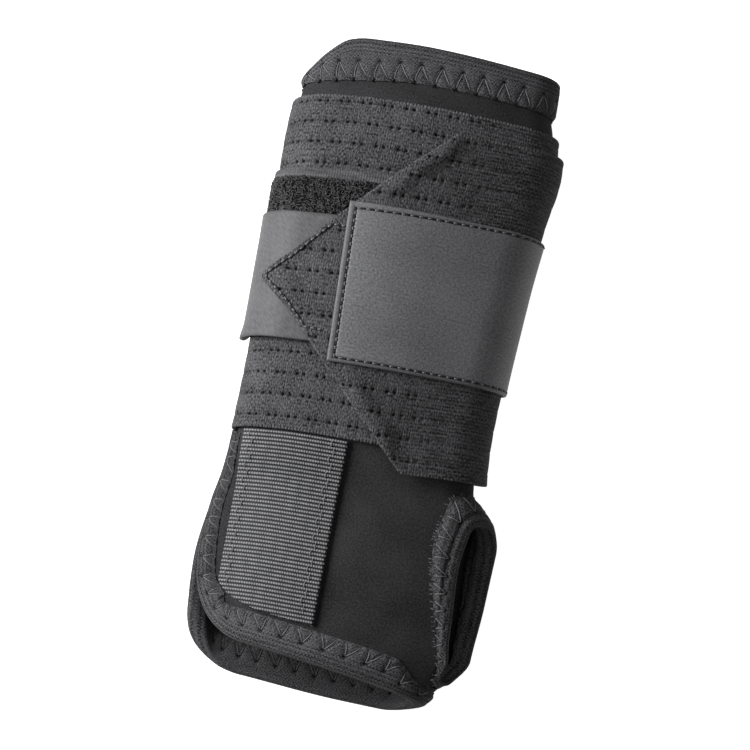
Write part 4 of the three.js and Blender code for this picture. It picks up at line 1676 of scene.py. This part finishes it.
@dataclass
class Strap:
    """The wide perforated elastic, wound one and a half turns to a pointed end.

    Attributes:
        from_turn: the turn at which the strap starts, under its own second turn.
        lip: how high the border along the slanted edges swells.
        lip_in: how far in from those edges it is highest.
        lip_turns: the turns at which that starts and is full, and those at which it fades and ends.
        open_from: how far in from the edges the finish starts to show its holes, and where it shows all;
            nearer the edges it paints a highlight.
        tab_turn: the turn at which the stitched outline of the tab under the point starts.
        tab_edges: the places along the arm of that outline's lower and upper side.
    """

    width: float = 100.0
    from_turn: float = -0.11
    to_turn: float = 2.882
    high_from: float = 2.4
    low_from: float = 2.35
    point_rise: float = 1.466
    point_half: float = 0.75
    tip_radius: float = 0.7
    over_start: Pair = (1.8, 1.88)
    over_hook: Pair = (2.2, 2.6)
    holes: Perforation = PERFORATION
    hole_depth: float = 0.9
    groove: Pair = (0.14, 0.5)
    plain_edge: float = 1.0
    open_from: Pair = (0.6, 1.0)
    edge_steps: Steps = (0.0, 0.15, 0.45, 0.9)
    edge_clear: float = 1.1
    tab_turn: float = 2.66
    tab_stop: float = 0.02
    tab_edges: Pair = (7.5, 38.0)
    stitch_inset: float = 1.4
    seam: Seam = Seam(pitch=2.0, length=1.05, thread=0.32, sunk=(0.3, 0.45))
    edge_radius: float = 0.35
    lip: float = 1.2
    lip_in: float = 2.9
    lip_width: float = 2.0
    lip_turns: Steps = (2.36, 2.42, 2.5, 2.6)

    def middle(self, turn: Array) -> Array:
        """Place of the strap's middle line along the arm."""
        return follow(STRAP_MIDDLE, np.asarray(turn, float))

    def under(self, turn: Array) -> Array:
        """Height of the under face: it climbs over its own start, then over the loop tape and hook tab.

        Args:
            turn: turns of the strap.

        Returns:
            The heights.
        """
        over_start = (LAYERS.second_turn - LAYERS.first_turn) * ease(turn, *self.over_start)
        over_hook = (LAYERS.on_hook - LAYERS.second_turn) * ease(turn, *self.over_hook)
        return LAYERS.first_turn + over_start + over_hook

    def edges(self, turn: Array) -> Places:
        """Places of the lower and upper edge from the middle line, which meet in a rounded tip.

        Args:
            turn: turns of the strap.

        Returns:
            The places of both edges across the strap.
        """
        low = np.clip((turn - self.low_from) / (self.to_turn - self.low_from), 0, 1)
        high = np.clip((turn - self.high_from) / (self.to_turn - self.high_from), 0, 1)
        half, radius = self.width / 2, self.tip_radius
        near_tip = np.maximum(radius - (self.run(self.to_turn) - self.run(turn)), 0)
        tuck = radius - np.sqrt(radius**2 - near_tip**2)
        lower = mix(-half, self.point_rise - self.point_half, low) + tuck
        return lower, mix(half, self.point_rise + self.point_half, high) - tuck

    def run(self, turn: Array) -> Array:
        """Length along the strap's middle from the fold.

        Args:
            turn: turns of the strap.

        Returns:
            The lengths.
        """
        section = FACE.section(self.middle(OPEN_SIDE))
        front, back = float(section.front), float(section.back)
        return np.interp(turn, [-1, 0, 1, 2, 3], [-back, 0, front, front + back, 2 * front + back])

    def turn_at(self, run: Array) -> Array:
        """Turn at a length along the strap's middle."""
        turns = np.linspace(-1, 3, 5)
        return np.interp(run, self.run(turns), turns)

    def place(self, turn: Array, y: Array, lift: Array, slant: Array = 0.0) -> Array:
        """Points at turns of the strap and places along the arm, in metres."""
        return FACE.place(FACE.around_at_turn(turn, y) + slant, y, lift)

    def facing(self, turn: Array, y: Array) -> Array:
        """Directions straight out of the strap's face."""
        return FACE.facing(FACE.around_at_turn(turn, y), y)

    def hole_distance(self, run: Array, across: Array) -> tuple[Array, Array]:
        """How far places are from the nearest hole and from the nearest row of holes.

        Args:
            run: lengths along the strap.
            across: places across it from its middle.

        Returns:
            The distances to a hole and to a row.
        """
        holes = self.holes
        row = (holes.edge - holes.first_row - across) / holes.row_pitch
        nearest = np.clip(np.round(row), 0, holes.rows - 1)
        from_row = np.abs(row - nearest) * holes.row_pitch
        cell = run / holes.pair_pitch + np.mod(nearest, 2) / 2
        from_pair = np.abs(cell - np.round(cell)) * holes.pair_pitch
        return np.hypot(from_row, from_pair - holes.pair_gap / 2), from_row

    def grid(self) -> Places:
        """Lengths along the strap and places across it, close together at the holes and the edges.

        Returns:
            Both, in a grid.
        """
        start, end = float(self.run(self.from_turn)), float(self.run(self.to_turn))
        border, holes = np.array(self.edge_steps), self.holes
        half = holes.pair_pitch / 2
        cells = np.arange(math.floor(start / half), math.ceil(end / half) + 1) * half
        near = np.array([-holes.radius, 0, holes.radius])
        steps = np.concatenate([near - holes.pair_gap / 2, near + holes.pair_gap / 2])
        columns = np.sort((cells[:, None] + steps).ravel())
        columns = columns[(columns > start + self.edge_clear) & (columns < end - self.edge_clear)]
        run = np.concatenate([start + border, columns, end - border[::-1]])
        rows = holes.edge - holes.first_row - holes.row_pitch * np.arange(holes.rows)[::-1]
        between = np.concatenate([near, holes.row_pitch * np.array([1 / 3, 2 / 3])])
        inside = np.sort((rows[:, None] + between).ravel())
        inside = inside[inside < self.width / 2 - self.plain_edge]
        low, high = self.edges(self.turn_at(run))
        steep = np.hypot(1, np.gradient(np.stack([low, high]), run, axis=1))
        spread = np.minimum(steep, (high - low) / (3 * border[-1]))
        low_border = low[:, None] + border * spread[0][:, None]
        high_border = high[:, None] - border[::-1] * spread[1][:, None]
        middle = np.clip(inside, low_border[:, -1:], high_border[:, :1])
        across = np.concatenate([low_border, middle, high_border], axis=1)
        return run[:, None] * np.ones_like(across), across

    def surface(self) -> tuple[Cloth, float]:
        """The strap with its holes.

        Returns:
            The mesh, and its area in square metres.
        """
        run, across = self.grid()
        turn = self.turn_at(run)
        y = self.middle(turn) + across
        low, high = self.edges(turn)
        steep = np.hypot(1, np.gradient(np.stack([low[:, 0], high[:, 0]]), run[:, 0], axis=1))[:, :, None]
        ends = np.minimum(run - run.min(), run.max() - run)
        from_edge = np.minimum(np.minimum((across - low) / steep[0], (high - across) / steep[1]), ends)
        rise = rounded(from_edge, self.edge_radius) / 2
        to_hole, to_row = self.hole_distance(run, across)
        whole, plain = self.run(WHOLE_TURN), from_edge > self.plain_edge
        slack = ease(np.abs(run - whole * np.round(run / whole)), *ELASTIC.drawn)
        hole = np.clip(1 - to_hole / (self.holes.radius * self.holes.spread), 0, 1) * plain * slack
        groove, groove_reach = self.groove
        starts, full, fades, stops = self.lip_turns
        slanted = ease(turn, starts, full) * ease(turn, stops, fades)
        under = self.under(turn) + self.lip * slanted * bell(from_edge - self.lip_in, self.lip_width)
        lowered = self.hole_depth * np.sqrt(hole) + groove * bell(to_row, groove_reach) * plain
        outer = self.place(turn, y, under + LAYERS.elastic * (0.5 + rise) - lowered)
        inner = self.place(turn, y, under + LAYERS.elastic * (0.5 - rise))
        lay = lay_of(run, across, ease(from_edge, *self.open_from))
        return closed_sheet(outer, inner, lay), cloth_area(self.place(turn, y, under + LAYERS.elastic / 2))

    def tab_outline(self) -> Places:
        """The line round the tab under the point: turns and places along the arm.

        Returns:
            Both, point by point.
        """
        turn = np.linspace(self.tab_turn, self.to_turn - self.tab_stop, 200)
        low, high = self.edges(turn)
        slope = np.hypot(1, np.gradient(np.stack([low, high]), self.run(turn), axis=1))
        lower = np.maximum(self.middle(turn) + low + self.stitch_inset * slope[0], self.tab_edges[0])
        upper = np.minimum(self.middle(turn) + high - self.stitch_inset * slope[1], self.tab_edges[1])
        open_part = lower < upper
        turn, lower, upper = turn[open_part], lower[open_part], upper[open_part]
        return np.concatenate([turn, turn[::-1]]), np.concatenate([upper, lower[::-1]])

    def stitches(self) -> Cloth:
        """Light stitches, and dark tubes of painted shade in the needle holes between them, along the outline
        of the tab.

        Returns:
            The stitches as one mesh.
        """
        outline, outline_y = self.tab_outline()
        lines = []
        for run, y, lift, mark in self.seam.rows((self.run(outline), outline_y)):
            turn = self.turn_at(run)
            points = self.place(turn, y, self.under(turn) + LAYERS.elastic + lift)
            lines.append(tubes(points, self.facing(turn, y), self.seam.thread, mark))
        return join(lines)

    def build(self) -> None:
        cloth, area = self.surface()
        piece = dress(make_piece("strap_knit", cloth), ELASTIC, Slot.ELASTIC, "elastic_strap")
        threads = dress(make_piece("strap_stitches", self.stitches()), THREAD, Slot.ELASTIC)
        flat = (self.width * MM, float(self.run(self.to_turn) - self.run(self.from_turn)) * MM)
        area = min(area, flat[0] * flat[1])


@dataclass
class StrapPiece:
    """A piece that lies on the strap between two turns, with edges that climb towards the fold."""

    strap: Strap
    from_turn: float
    to_turn: float
    low: float
    high: float
    climb: float

    def ends(self) -> Pair:
        """Lengths along the strap at which the piece starts and ends."""
        return float(self.strap.run(self.from_turn)), float(self.strap.run(self.to_turn))

    def edges(self, turn: Array) -> Places:
        """Places along the arm of the lower and upper edge."""
        up = self.climb * (OPEN_SIDE + (WHOLE_TURN if self.from_turn > OPEN_SIDE else 0) - turn)
        return self.low + up, self.high + up

    def from_edge(self, run: Array, y: Array, low: Array, high: Array) -> Array:
        """How far places are from the nearest edge, by the lower and upper edge there."""
        start, end = self.ends()
        return np.minimum(np.minimum(run - start, end - run), np.minimum(y - low, high - y))

    def flat(self) -> Pair:
        """Width and length of the piece before it was laid, in metres."""
        start, end = self.ends()
        return (self.high - self.low) * MM, (end - start) * MM


@dataclass
class HookTab(StrapPiece):
    """The smooth grey tab under the strap's point, whose end wraps the open side."""

    from_turn: float = 0.62
    to_turn: float = 1.08
    low: float = 2.75
    high: float = 40.15
    climb: float = 4.2
    corner: float = 5.0
    thin: float = 0.75
    edge_radius: float = 0.2
    tail: float = 0.8
    tail_from: Pair = (-8.0, 3.0)
    tail_reach: float = 7.0
    end_steps: Steps = (0.0, 0.1, 0.3, 0.6, 1.0, 1.6, 2.4, 3.4, 4.4)
    side_steps: Steps = (0.0, 0.003, 0.006, 0.012, 0.03)

    def build(self) -> None:
        strap = self.strap
        start, end = self.ends()
        run = start + spaced(end - start, self.end_steps, 0.8)[:, None]
        turn = strap.turn_at(run)
        left = np.maximum(self.corner - (end - run), 0)
        tuck = self.corner - np.sqrt(self.corner**2 - left**2)
        low, high = self.edges(turn)
        low, high = low + tuck, high - tuck
        y = mix(low, high, spaced(1.0, self.side_steps, 0.02))
        edge = self.from_edge(run, y, low, high)
        rise = rounded(edge, self.edge_radius) / 2
        past_side = run - float(strap.run(OPEN_SIDE))
        free = self.tail * ease(past_side, *self.tail_from) * ease(y, low + self.tail_reach, low) ** 2
        height = LAYERS.on_loop + LAYERS.hook_sheet / 2 + free
        outer = strap.place(turn, y, height + self.thin * rise)
        inner = strap.place(turn, y, height - self.thin * rise)
        # The mark paints shade along the tab's edges.
        lay = lay_of(run, y, 1 - ease(edge, 0, 1.0))
        piece = make_piece("hook_sheet", closed_sheet(outer, inner, lay))
        dress(piece, HOOK_COAT, Slot.HOOK, "hook_tab")
        self.flat()


@dataclass
class LoopTape(StrapPiece):
    """The fuzzy landing tape on the strap's first turn, with a pale selvage along its upper edge."""

    from_turn: float = 0.5
    to_turn: float = 1.14
    low: float = 4.2
    high: float = 53.5
    climb: float = 5.0
    selvage: float = 2.8
    selvage_fade: float = 0.3
    ground: float = 0.6
    edge_radius: float = 0.3
    loops_per_mm2: float = 3.2
    loop_height: Pair = (0.35, 0.75)
    loop_width: Pair = (0.8, 1.8)
    loop_lean: float = 0.3
    loop_pale: Pair = (0.3, 1.0)
    loop_inset: float = 0.5
    loop_sunk: float = 0.05
    under_hook: float = 0.4
    thread: float = 0.12

    def build(self, hook: HookTab) -> None:
        """Args:
            hook: the tab that covers the tape's lower part.
        """
        start, end = self.ends()
        run = start + spaced(end - start, EDGE_STEPS, 1.0)[:, None]
        turn = self.strap.turn_at(run)
        low, high = self.edges(turn)
        y = low + spaced(self.high - self.low, EDGE_STEPS, 0.8)
        edge = self.from_edge(run, y, low, high)
        rise = rounded(edge, self.edge_radius) / 2
        outer = self.strap.place(turn, y, LAYERS.second_turn + self.ground * (0.5 + rise))
        inner = self.strap.place(turn, y, LAYERS.second_turn + self.ground * (0.5 - rise))
        woven = ease(y, high - self.selvage - self.selvage_fade, high - self.selvage)
        piece = make_piece("loop_ground", closed_sheet(outer, inner, lay_of(run, y, woven)))
        dress(piece, PILE, Slot.PILE, "loop_tape")
        loops = dress(make_piece("loop_pile", self.loops(hook)), PILE_LOOP, Slot.PILE)
        self.flat()

    def loops(self, hook: HookTab) -> Cloth:
        """Small loops on the ground, strewn where the tab doesn't lie on it.

        Args:
            hook: the tab.

        Returns:
            The loops as one mesh.
        """
        rng = np.random.default_rng(SEED)
        start, end = self.ends()
        bare = self.high - self.selvage - hook.high
        count = round((end - start) * bare * self.loops_per_mm2)
        run = rng.uniform(start + self.loop_inset, end - self.loop_inset, count)[:, None]
        at = self.strap.turn_at(run)
        share = rng.uniform(0, 1, count)[:, None]
        y = mix(hook.edges(at)[1] - self.under_hook, self.edges(at)[1] - self.selvage, share)
        turned = rng.uniform(0, TAU, count)[:, None]
        width = rng.uniform(*self.loop_width, count)[:, None]
        height = rng.uniform(*self.loop_height, count)[:, None]
        lean = rng.normal(0, self.loop_lean, count)[:, None]
        pale = rng.uniform(*self.loop_pale, count)[:, None]
        bow = np.linspace(0, math.pi, 8)
        aside, up = -np.cos(bow) * width / 2, np.sin(bow) * height
        run = run + aside * np.cos(turned) - up * lean * np.sin(turned)
        y = y + aside * np.sin(turned) + up * lean * np.cos(turned)
        height = LAYERS.second_turn + self.ground - self.loop_sunk + up
        points = self.strap.place(self.strap.turn_at(run), y, height)
        beside = np.stack([-np.sin(turned), np.cos(turned), np.full_like(turned, 0.1)], axis=-1)
        facing = np.broadcast_to(beside, points.shape)
        # The mark paints shade at each loop's roots and a highlight at its crest; pale makes some loops
        # lighter than others.
        return tubes(points, facing, self.thread, np.sin(bow) * pale, sides=4)


@dataclass
class FacePatch(StrapPiece):
    """The grained patch sewn on the strap, with a welt outside its stitched groove on three sides.

    Attributes:
        inset: how far the groove lies from the end nearest the point.
        top_inset: how far it lies from the upper edge, there and at the other end.
        low_inset: how far it lies from the lower edge.
        steps: distances of the mesh's rows from its edges, as shares of the insets.
    """

    from_turn: float = 1.965
    to_turn: float = 2.648
    low: float = -2.3
    high: float = 44.3
    climb: float = 3.5
    lean: float = 0.05
    inset: float = 1.9
    top_inset: Pair = (2.1, 0.5)
    low_inset: float = 1.3
    groove: Pair = (0.4, 0.28)
    welt: float = 0.1
    low_mark: float = 0.45
    end_mark: float = 0.42
    edge_radius: float = 0.5
    steps: Steps = (0.0, 0.05, 0.12, 0.25, 0.45, 0.65, 0.8, 0.9, 1.0, 1.1, 1.2, 1.4, 1.7)
    rows: int = 50
    first_stitch: float = 1.0
    seam: Seam = Seam(pitch=2.3, length=1.1, thread=0.24, sunk=(0.5, 0.6))

    def place(self, turn: Array, y: Array, lift: Array) -> Array:
        """Points of the patch at turns of the strap and places along the arm, in metres."""
        lean = self.lean * (y - sum(self.edges(turn)) / 2)
        return self.strap.place(turn, y, self.strap.under(turn) + LAYERS.elastic + LAYERS.gap + lift, lean)

    def top_groove(self, run: Array) -> Array:
        """How far the groove lies from the upper edge, at lengths along the strap."""
        start, end = self.ends()
        return mix(*self.top_inset, (end - run) / (end - start))

    def surface(self) -> Cloth:
        """The patch's mesh, with its groove and welt.

        Returns:
            The mesh.
        """
        start, end = self.ends()
        offsets = np.array(self.steps)
        run = start + spaced(end - start, offsets * self.inset, 0.9)[:, None]
        turn = self.strap.turn_at(run)
        low, high = self.edges(turn)
        top = self.top_groove(run)
        lower, upper = low + offsets * self.low_inset, high - offsets[::-1] * top
        between = mix(lower[:, -1:], upper[:, :1], np.linspace(0, 1, self.rows)[1:-1])
        y = np.concatenate([lower, between, upper], axis=1)
        to_end, to_top, to_low = (end - run) * np.ones_like(y), high - y, y - low
        inside = np.minimum.reduce([to_end - self.inset, to_top - top, to_low - self.low_inset])
        across_welt = np.minimum.reduce([to_end / self.inset, to_top / top, to_low / self.low_inset])
        rounding = rounded(self.from_edge(run, y, low, high), self.edge_radius) / 2
        deep, reach = self.groove
        sunk = bell(inside, reach)
        move = self.welt * np.sin(math.pi * np.clip(across_welt, 0, 1)) - deep * sunk
        outer = self.place(turn, y, LAYERS.rubber * (0.5 + rounding) + move)
        inner = self.place(turn, y, LAYERS.rubber * (0.5 - rounding))
        low_dark, end_dark = self.low_mark * (to_low < self.low_inset), self.end_mark * (to_end < self.inset)
        # Painted shade in the groove, with darker lower and end borders.
        dark = np.maximum.reduce([sunk, low_dark, end_dark])
        return closed_sheet(outer, inner, lay_of(run, y, dark))

    def stitches(self) -> Cloth:
        """Short light stitches, and dark tubes of painted shade in the needle holes, in the groove along its
        three sides.

        Returns:
            The stitches as one mesh.
        """
        start, end = self.ends()
        run = np.linspace(start + self.first_stitch, end - self.inset, 100)
        low, high = self.edges(self.strap.turn_at(run))
        line_run = np.concatenate([run, run[::-1]])
        line_y = np.concatenate([low + self.low_inset, (high - self.top_groove(run))[::-1]])
        lines = []
        for at_run, y, lift, mark in self.seam.rows((line_run, line_y)):
            turn = self.strap.turn_at(at_run)
            points = self.place(turn, y, LAYERS.rubber + lift)
            lines.append(tubes(points, self.strap.facing(turn, y), self.seam.thread, mark))
        return join(lines)

    def build(self) -> None:
        piece = dress(make_piece("patch_sheet", self.surface()), RUBBER, Slot.PATCH, "face_patch")
        threads = dress(make_piece("patch_stitches", self.stitches()), THREAD, Slot.PATCH)
        self.flat()


@dataclass
class WebbingStrip:
    """The cross-ribbed webbing along the hand, with a corded line beside each selvage."""

    strap: Strap
    hand: EdgePath
    left_top: float = -31.9
    right_top: float = -2.1
    left_end: float = -30.5
    right_end: float = -1.3
    end_y: float = -80.0
    rib_pitch: float = 1.13
    dash_pitch: float = 0.74
    rib_height: float = 0.34
    ridge_power: float = 0.8
    dash_power: float = 0.6
    dash_low: float = 0.35
    weave_level: float = 0.7
    rows_per_rib: int = 5
    columns: int = 170
    near_hand: float = 20.0
    tape_room: float = 0.1
    cord_inset: Pair = (2.5, 4.0)
    cord_swing: float = 0.5
    cord_bow: float = 0.35
    cord_sunk: float = 0.2
    cord_room: float = 1.0
    thread: float = 0.16

    def top(self) -> float:
        """Place of the strap's lower edge along the arm, at the fold."""
        return float(self.strap.middle(0.0)) - self.strap.width / 2

    def flat(self) -> Pair:
        """Width and length of the strip."""
        return self.right_top - self.left_top, self.top() - self.end_y

    def place_at(self, share: Array, down: Array) -> Places:
        """Places at shares of the strip's width and distances down from the strap's edge.

        Args:
            share: the shares.
            down: the distances down.

        Returns:
            The distances around and along.
        """
        deep = down / self.flat()[1]
        x = mix(mix(self.left_top, self.right_top, share), mix(self.left_end, self.right_end, share), deep)
        top = np.array(self.top())
        turn = FACE.around_at_x(x, np.full_like(x, top)) / FACE.section(top).front
        y = self.strap.middle(turn) - self.strap.width / 2 - LAYERS.gap - down
        return FACE.around_at_x(x, y), y

    def is_clear(self, around: Array, y: Array, room: float) -> Array:
        """Which places are clear of the hand's tape by some room.

        Args:
            around: distances around.
            y: places along the arm.
            room: the room.

        Returns:
            True for each place that is.
        """
        nearest = np.full(around.shape, np.inf)
        path, near = self.hand, self.hand.around > self.near_hand
        for path_around, path_y, flange in zip(path.around[near], path.y[near], path.flange[near]):
            nearest = np.minimum(nearest, np.hypot(around - path_around, y - path_y) - flange)
        return nearest > room

    def surface(self) -> tuple[Cloth, Array, Array]:
        """The woven strip.

        Returns:
            The mesh, its middle points and which of its faces are kept.
        """
        width, length = self.flat()
        down = np.arange(0, length, self.rib_pitch / self.rows_per_rib)
        down, share = np.meshgrid(down, np.linspace(0, 1, self.columns), indexing="ij")
        around, y = self.place_at(share, down)
        across = share * width
        rib = np.floor(down / self.rib_pitch)
        ridge = np.sin(math.pi * np.mod(down / self.rib_pitch, 1)) ** self.ridge_power
        dash = np.abs(np.sin(math.pi * (across / self.dash_pitch + rib / 2))) ** self.dash_power
        weave = ridge * mix(self.dash_low, 1.0, dash)
        edge = np.minimum(np.minimum(down, across), width - across)
        rise = rounded(edge, LAYERS.webbing / 2) / 2
        base = LAYERS.tape_gap
        woven = self.rib_height * (weave - self.weave_level)
        outer = FACE.place(around, y, base + LAYERS.webbing * (0.5 + rise) + woven)
        inner = FACE.place(around, y, base + LAYERS.webbing * (0.5 - rise))
        middle_around, middle_y = ((v[1:, 1:] + v[:-1, :-1]) / 2 for v in (around, y))
        keep = self.is_clear(middle_around, middle_y, self.tape_room)
        cloth = closed_sheet(outer, inner, lay_of(across, down, weave), keep)
        return cloth, FACE.place(around, y, base + LAYERS.webbing / 2), keep

    def cords(self) -> Cloth:
        """Threads that step from side to side over pairs of ribs beside each selvage.

        Returns:
            The threads as one mesh.
        """
        width, length = self.flat()
        tall = 2 * self.rib_pitch
        top = np.arange(0.5 * self.rib_pitch, length - 2 * tall, tall)[:, None]
        swing = np.where(np.arange(len(top)) % 2, 1, -1)[:, None] * self.cord_swing
        share = np.linspace(0, 1, 7)
        height = LAYERS.tape_gap + LAYERS.webbing + arched(share) * self.cord_bow - self.cord_sunk
        cloths = []
        for inset in (self.cord_inset[0], width - self.cord_inset[1]):
            across = np.broadcast_to((inset + swing) / width, (len(top), len(share)))
            around, y = self.place_at(across, top + tall * share)
            clear = self.is_clear(around, y, self.cord_room).all(axis=1)
            around, y = around[clear], y[clear]
            cloths.append(tubes(FACE.place(around, y, height), FACE.facing(around, y), self.thread))
        return join(cloths)

    def build(self) -> None:
        cloth, middle, keep = self.surface()
        piece = dress(make_piece("webbing_weave", cloth), WEBBING, Slot.WEBBING, "webbing_strip")
        threads = dress(make_piece("webbing_cords", self.cords()), THREAD, Slot.WEBBING)
        flat = tuple(side * MM for side in self.flat())
        area = min(cloth_area(middle, keep), flat[0] * flat[1])


@dataclass(frozen=True)
class Lamp:
    """A soft square light: where it hangs and how long its sides are in metres, and its power in watts."""

    name: str
    place: tuple[float, float, float]
    size: float
    watts: float

    def hang(self) -> None:
        """Hangs the lamp, facing the guard."""
        data = bpy.data.lights.new(self.name, "AREA")
        data.size, data.energy = self.size, self.watts
        lamp = put(self.name, data)
        lamp.location = self.place
        lamp.rotation_euler = Vector(self.place).to_track_quat("Z", "Y").to_euler()


@dataclass
class Studio:
    """A pale floor, soft lights and the camera above the guard's face."""

    target: tuple[float, float, float] = (-1.495, -1.3, 18.0)
    azimuth: float = 11.5
    elevation: float = 84.0
    distance: float = 520.0
    seen_width: float = 221.25
    sensor: float = 36.0
    floor_size: float = 4.0
    floor_drop: float = 0.1
    floor_colour: Colour = (0.85, 0.85, 0.85)
    floor_rough: float = 0.9
    floor_glow: float = 0.9
    ambient: float = 0.085
    lamps: tuple[Lamp, ...] = (
        Lamp("key", (-0.94, 0.16, 0.52), 0.7, 23.5),
        Lamp("fill", (0.34, -0.08, 0.94), 0.5, 1.3),
    )

    def back(self) -> Vector:
        """Direction from the target to the camera."""
        turn, rise = math.radians(self.azimuth), math.radians(self.elevation)
        return Vector((math.sin(turn) * math.cos(rise), -math.cos(turn) * math.cos(rise), math.sin(rise)))

    def camera(self) -> None:
        """Sets up the camera at the photograph's angle."""
        data = bpy.data.cameras.new("camera")
        data.sensor_width = self.sensor
        data.lens = self.sensor * self.distance / self.seen_width
        camera = put("camera", data)
        camera.location = (Vector(self.target) + self.back() * self.distance) * MM
        camera.rotation_euler = (-self.back()).to_track_quat("-Z", "Y").to_euler()
        bpy.context.scene.camera = camera

    def floor(self) -> None:
        """Lays the floor under the guard."""
        half, down = self.floor_size / 2, -self.floor_drop * MM
        corners = [(-half, -half, down), (half, -half, down), (half, half, down), (-half, half, down)]
        mesh = bpy.data.meshes.new("floor")
        mesh.from_pydata(corners, [], [(0, 1, 2, 3)])
        tree = FinishTree("floor")
        sockets = {
            "Base Color": (*self.floor_colour, 1.0),
            "Roughness": self.floor_rough,
            "Emission Color": WHITE,
            "Emission Strength": self.floor_glow,
        }
        tree.feed(tree.shader, sockets)
        mesh.materials.append(tree.material)
        floor = put("floor", mesh)
        floor.visible_diffuse = False

    def build(self) -> None:
        """Sets up the camera, the floor, the lights and the pale room."""
        self.camera()
        self.floor()
        for lamp in self.lamps:
            lamp.hang()
        world = bpy.data.worlds.new("room")
        world.use_nodes = True
        sockets = world.node_tree.nodes["Background"].inputs
        sockets["Color"].default_value, sockets["Strength"].default_value = WHITE, self.ambient
        bpy.context.scene.world = world
        bpy.context.scene.view_settings.view_transform = "Standard"


def main() -> None:
    """Builds the guard piece by piece, then the studio round it."""
    logging.basicConfig(level=logging.INFO, format="%(name)s: %(message)s")
    wrap, strap = Wrap(), Strap()
    hook = HookTab(strap)
    wrap.build()
    hand = Bindings(wrap, strap).build()
    strap.build()
    LoopTape(strap).build(hook)
    hook.build()
    FacePatch(strap).build()
    WebbingStrip(strap, hand).build()
    Studio().build()


if __name__ == "__main__":
    main()
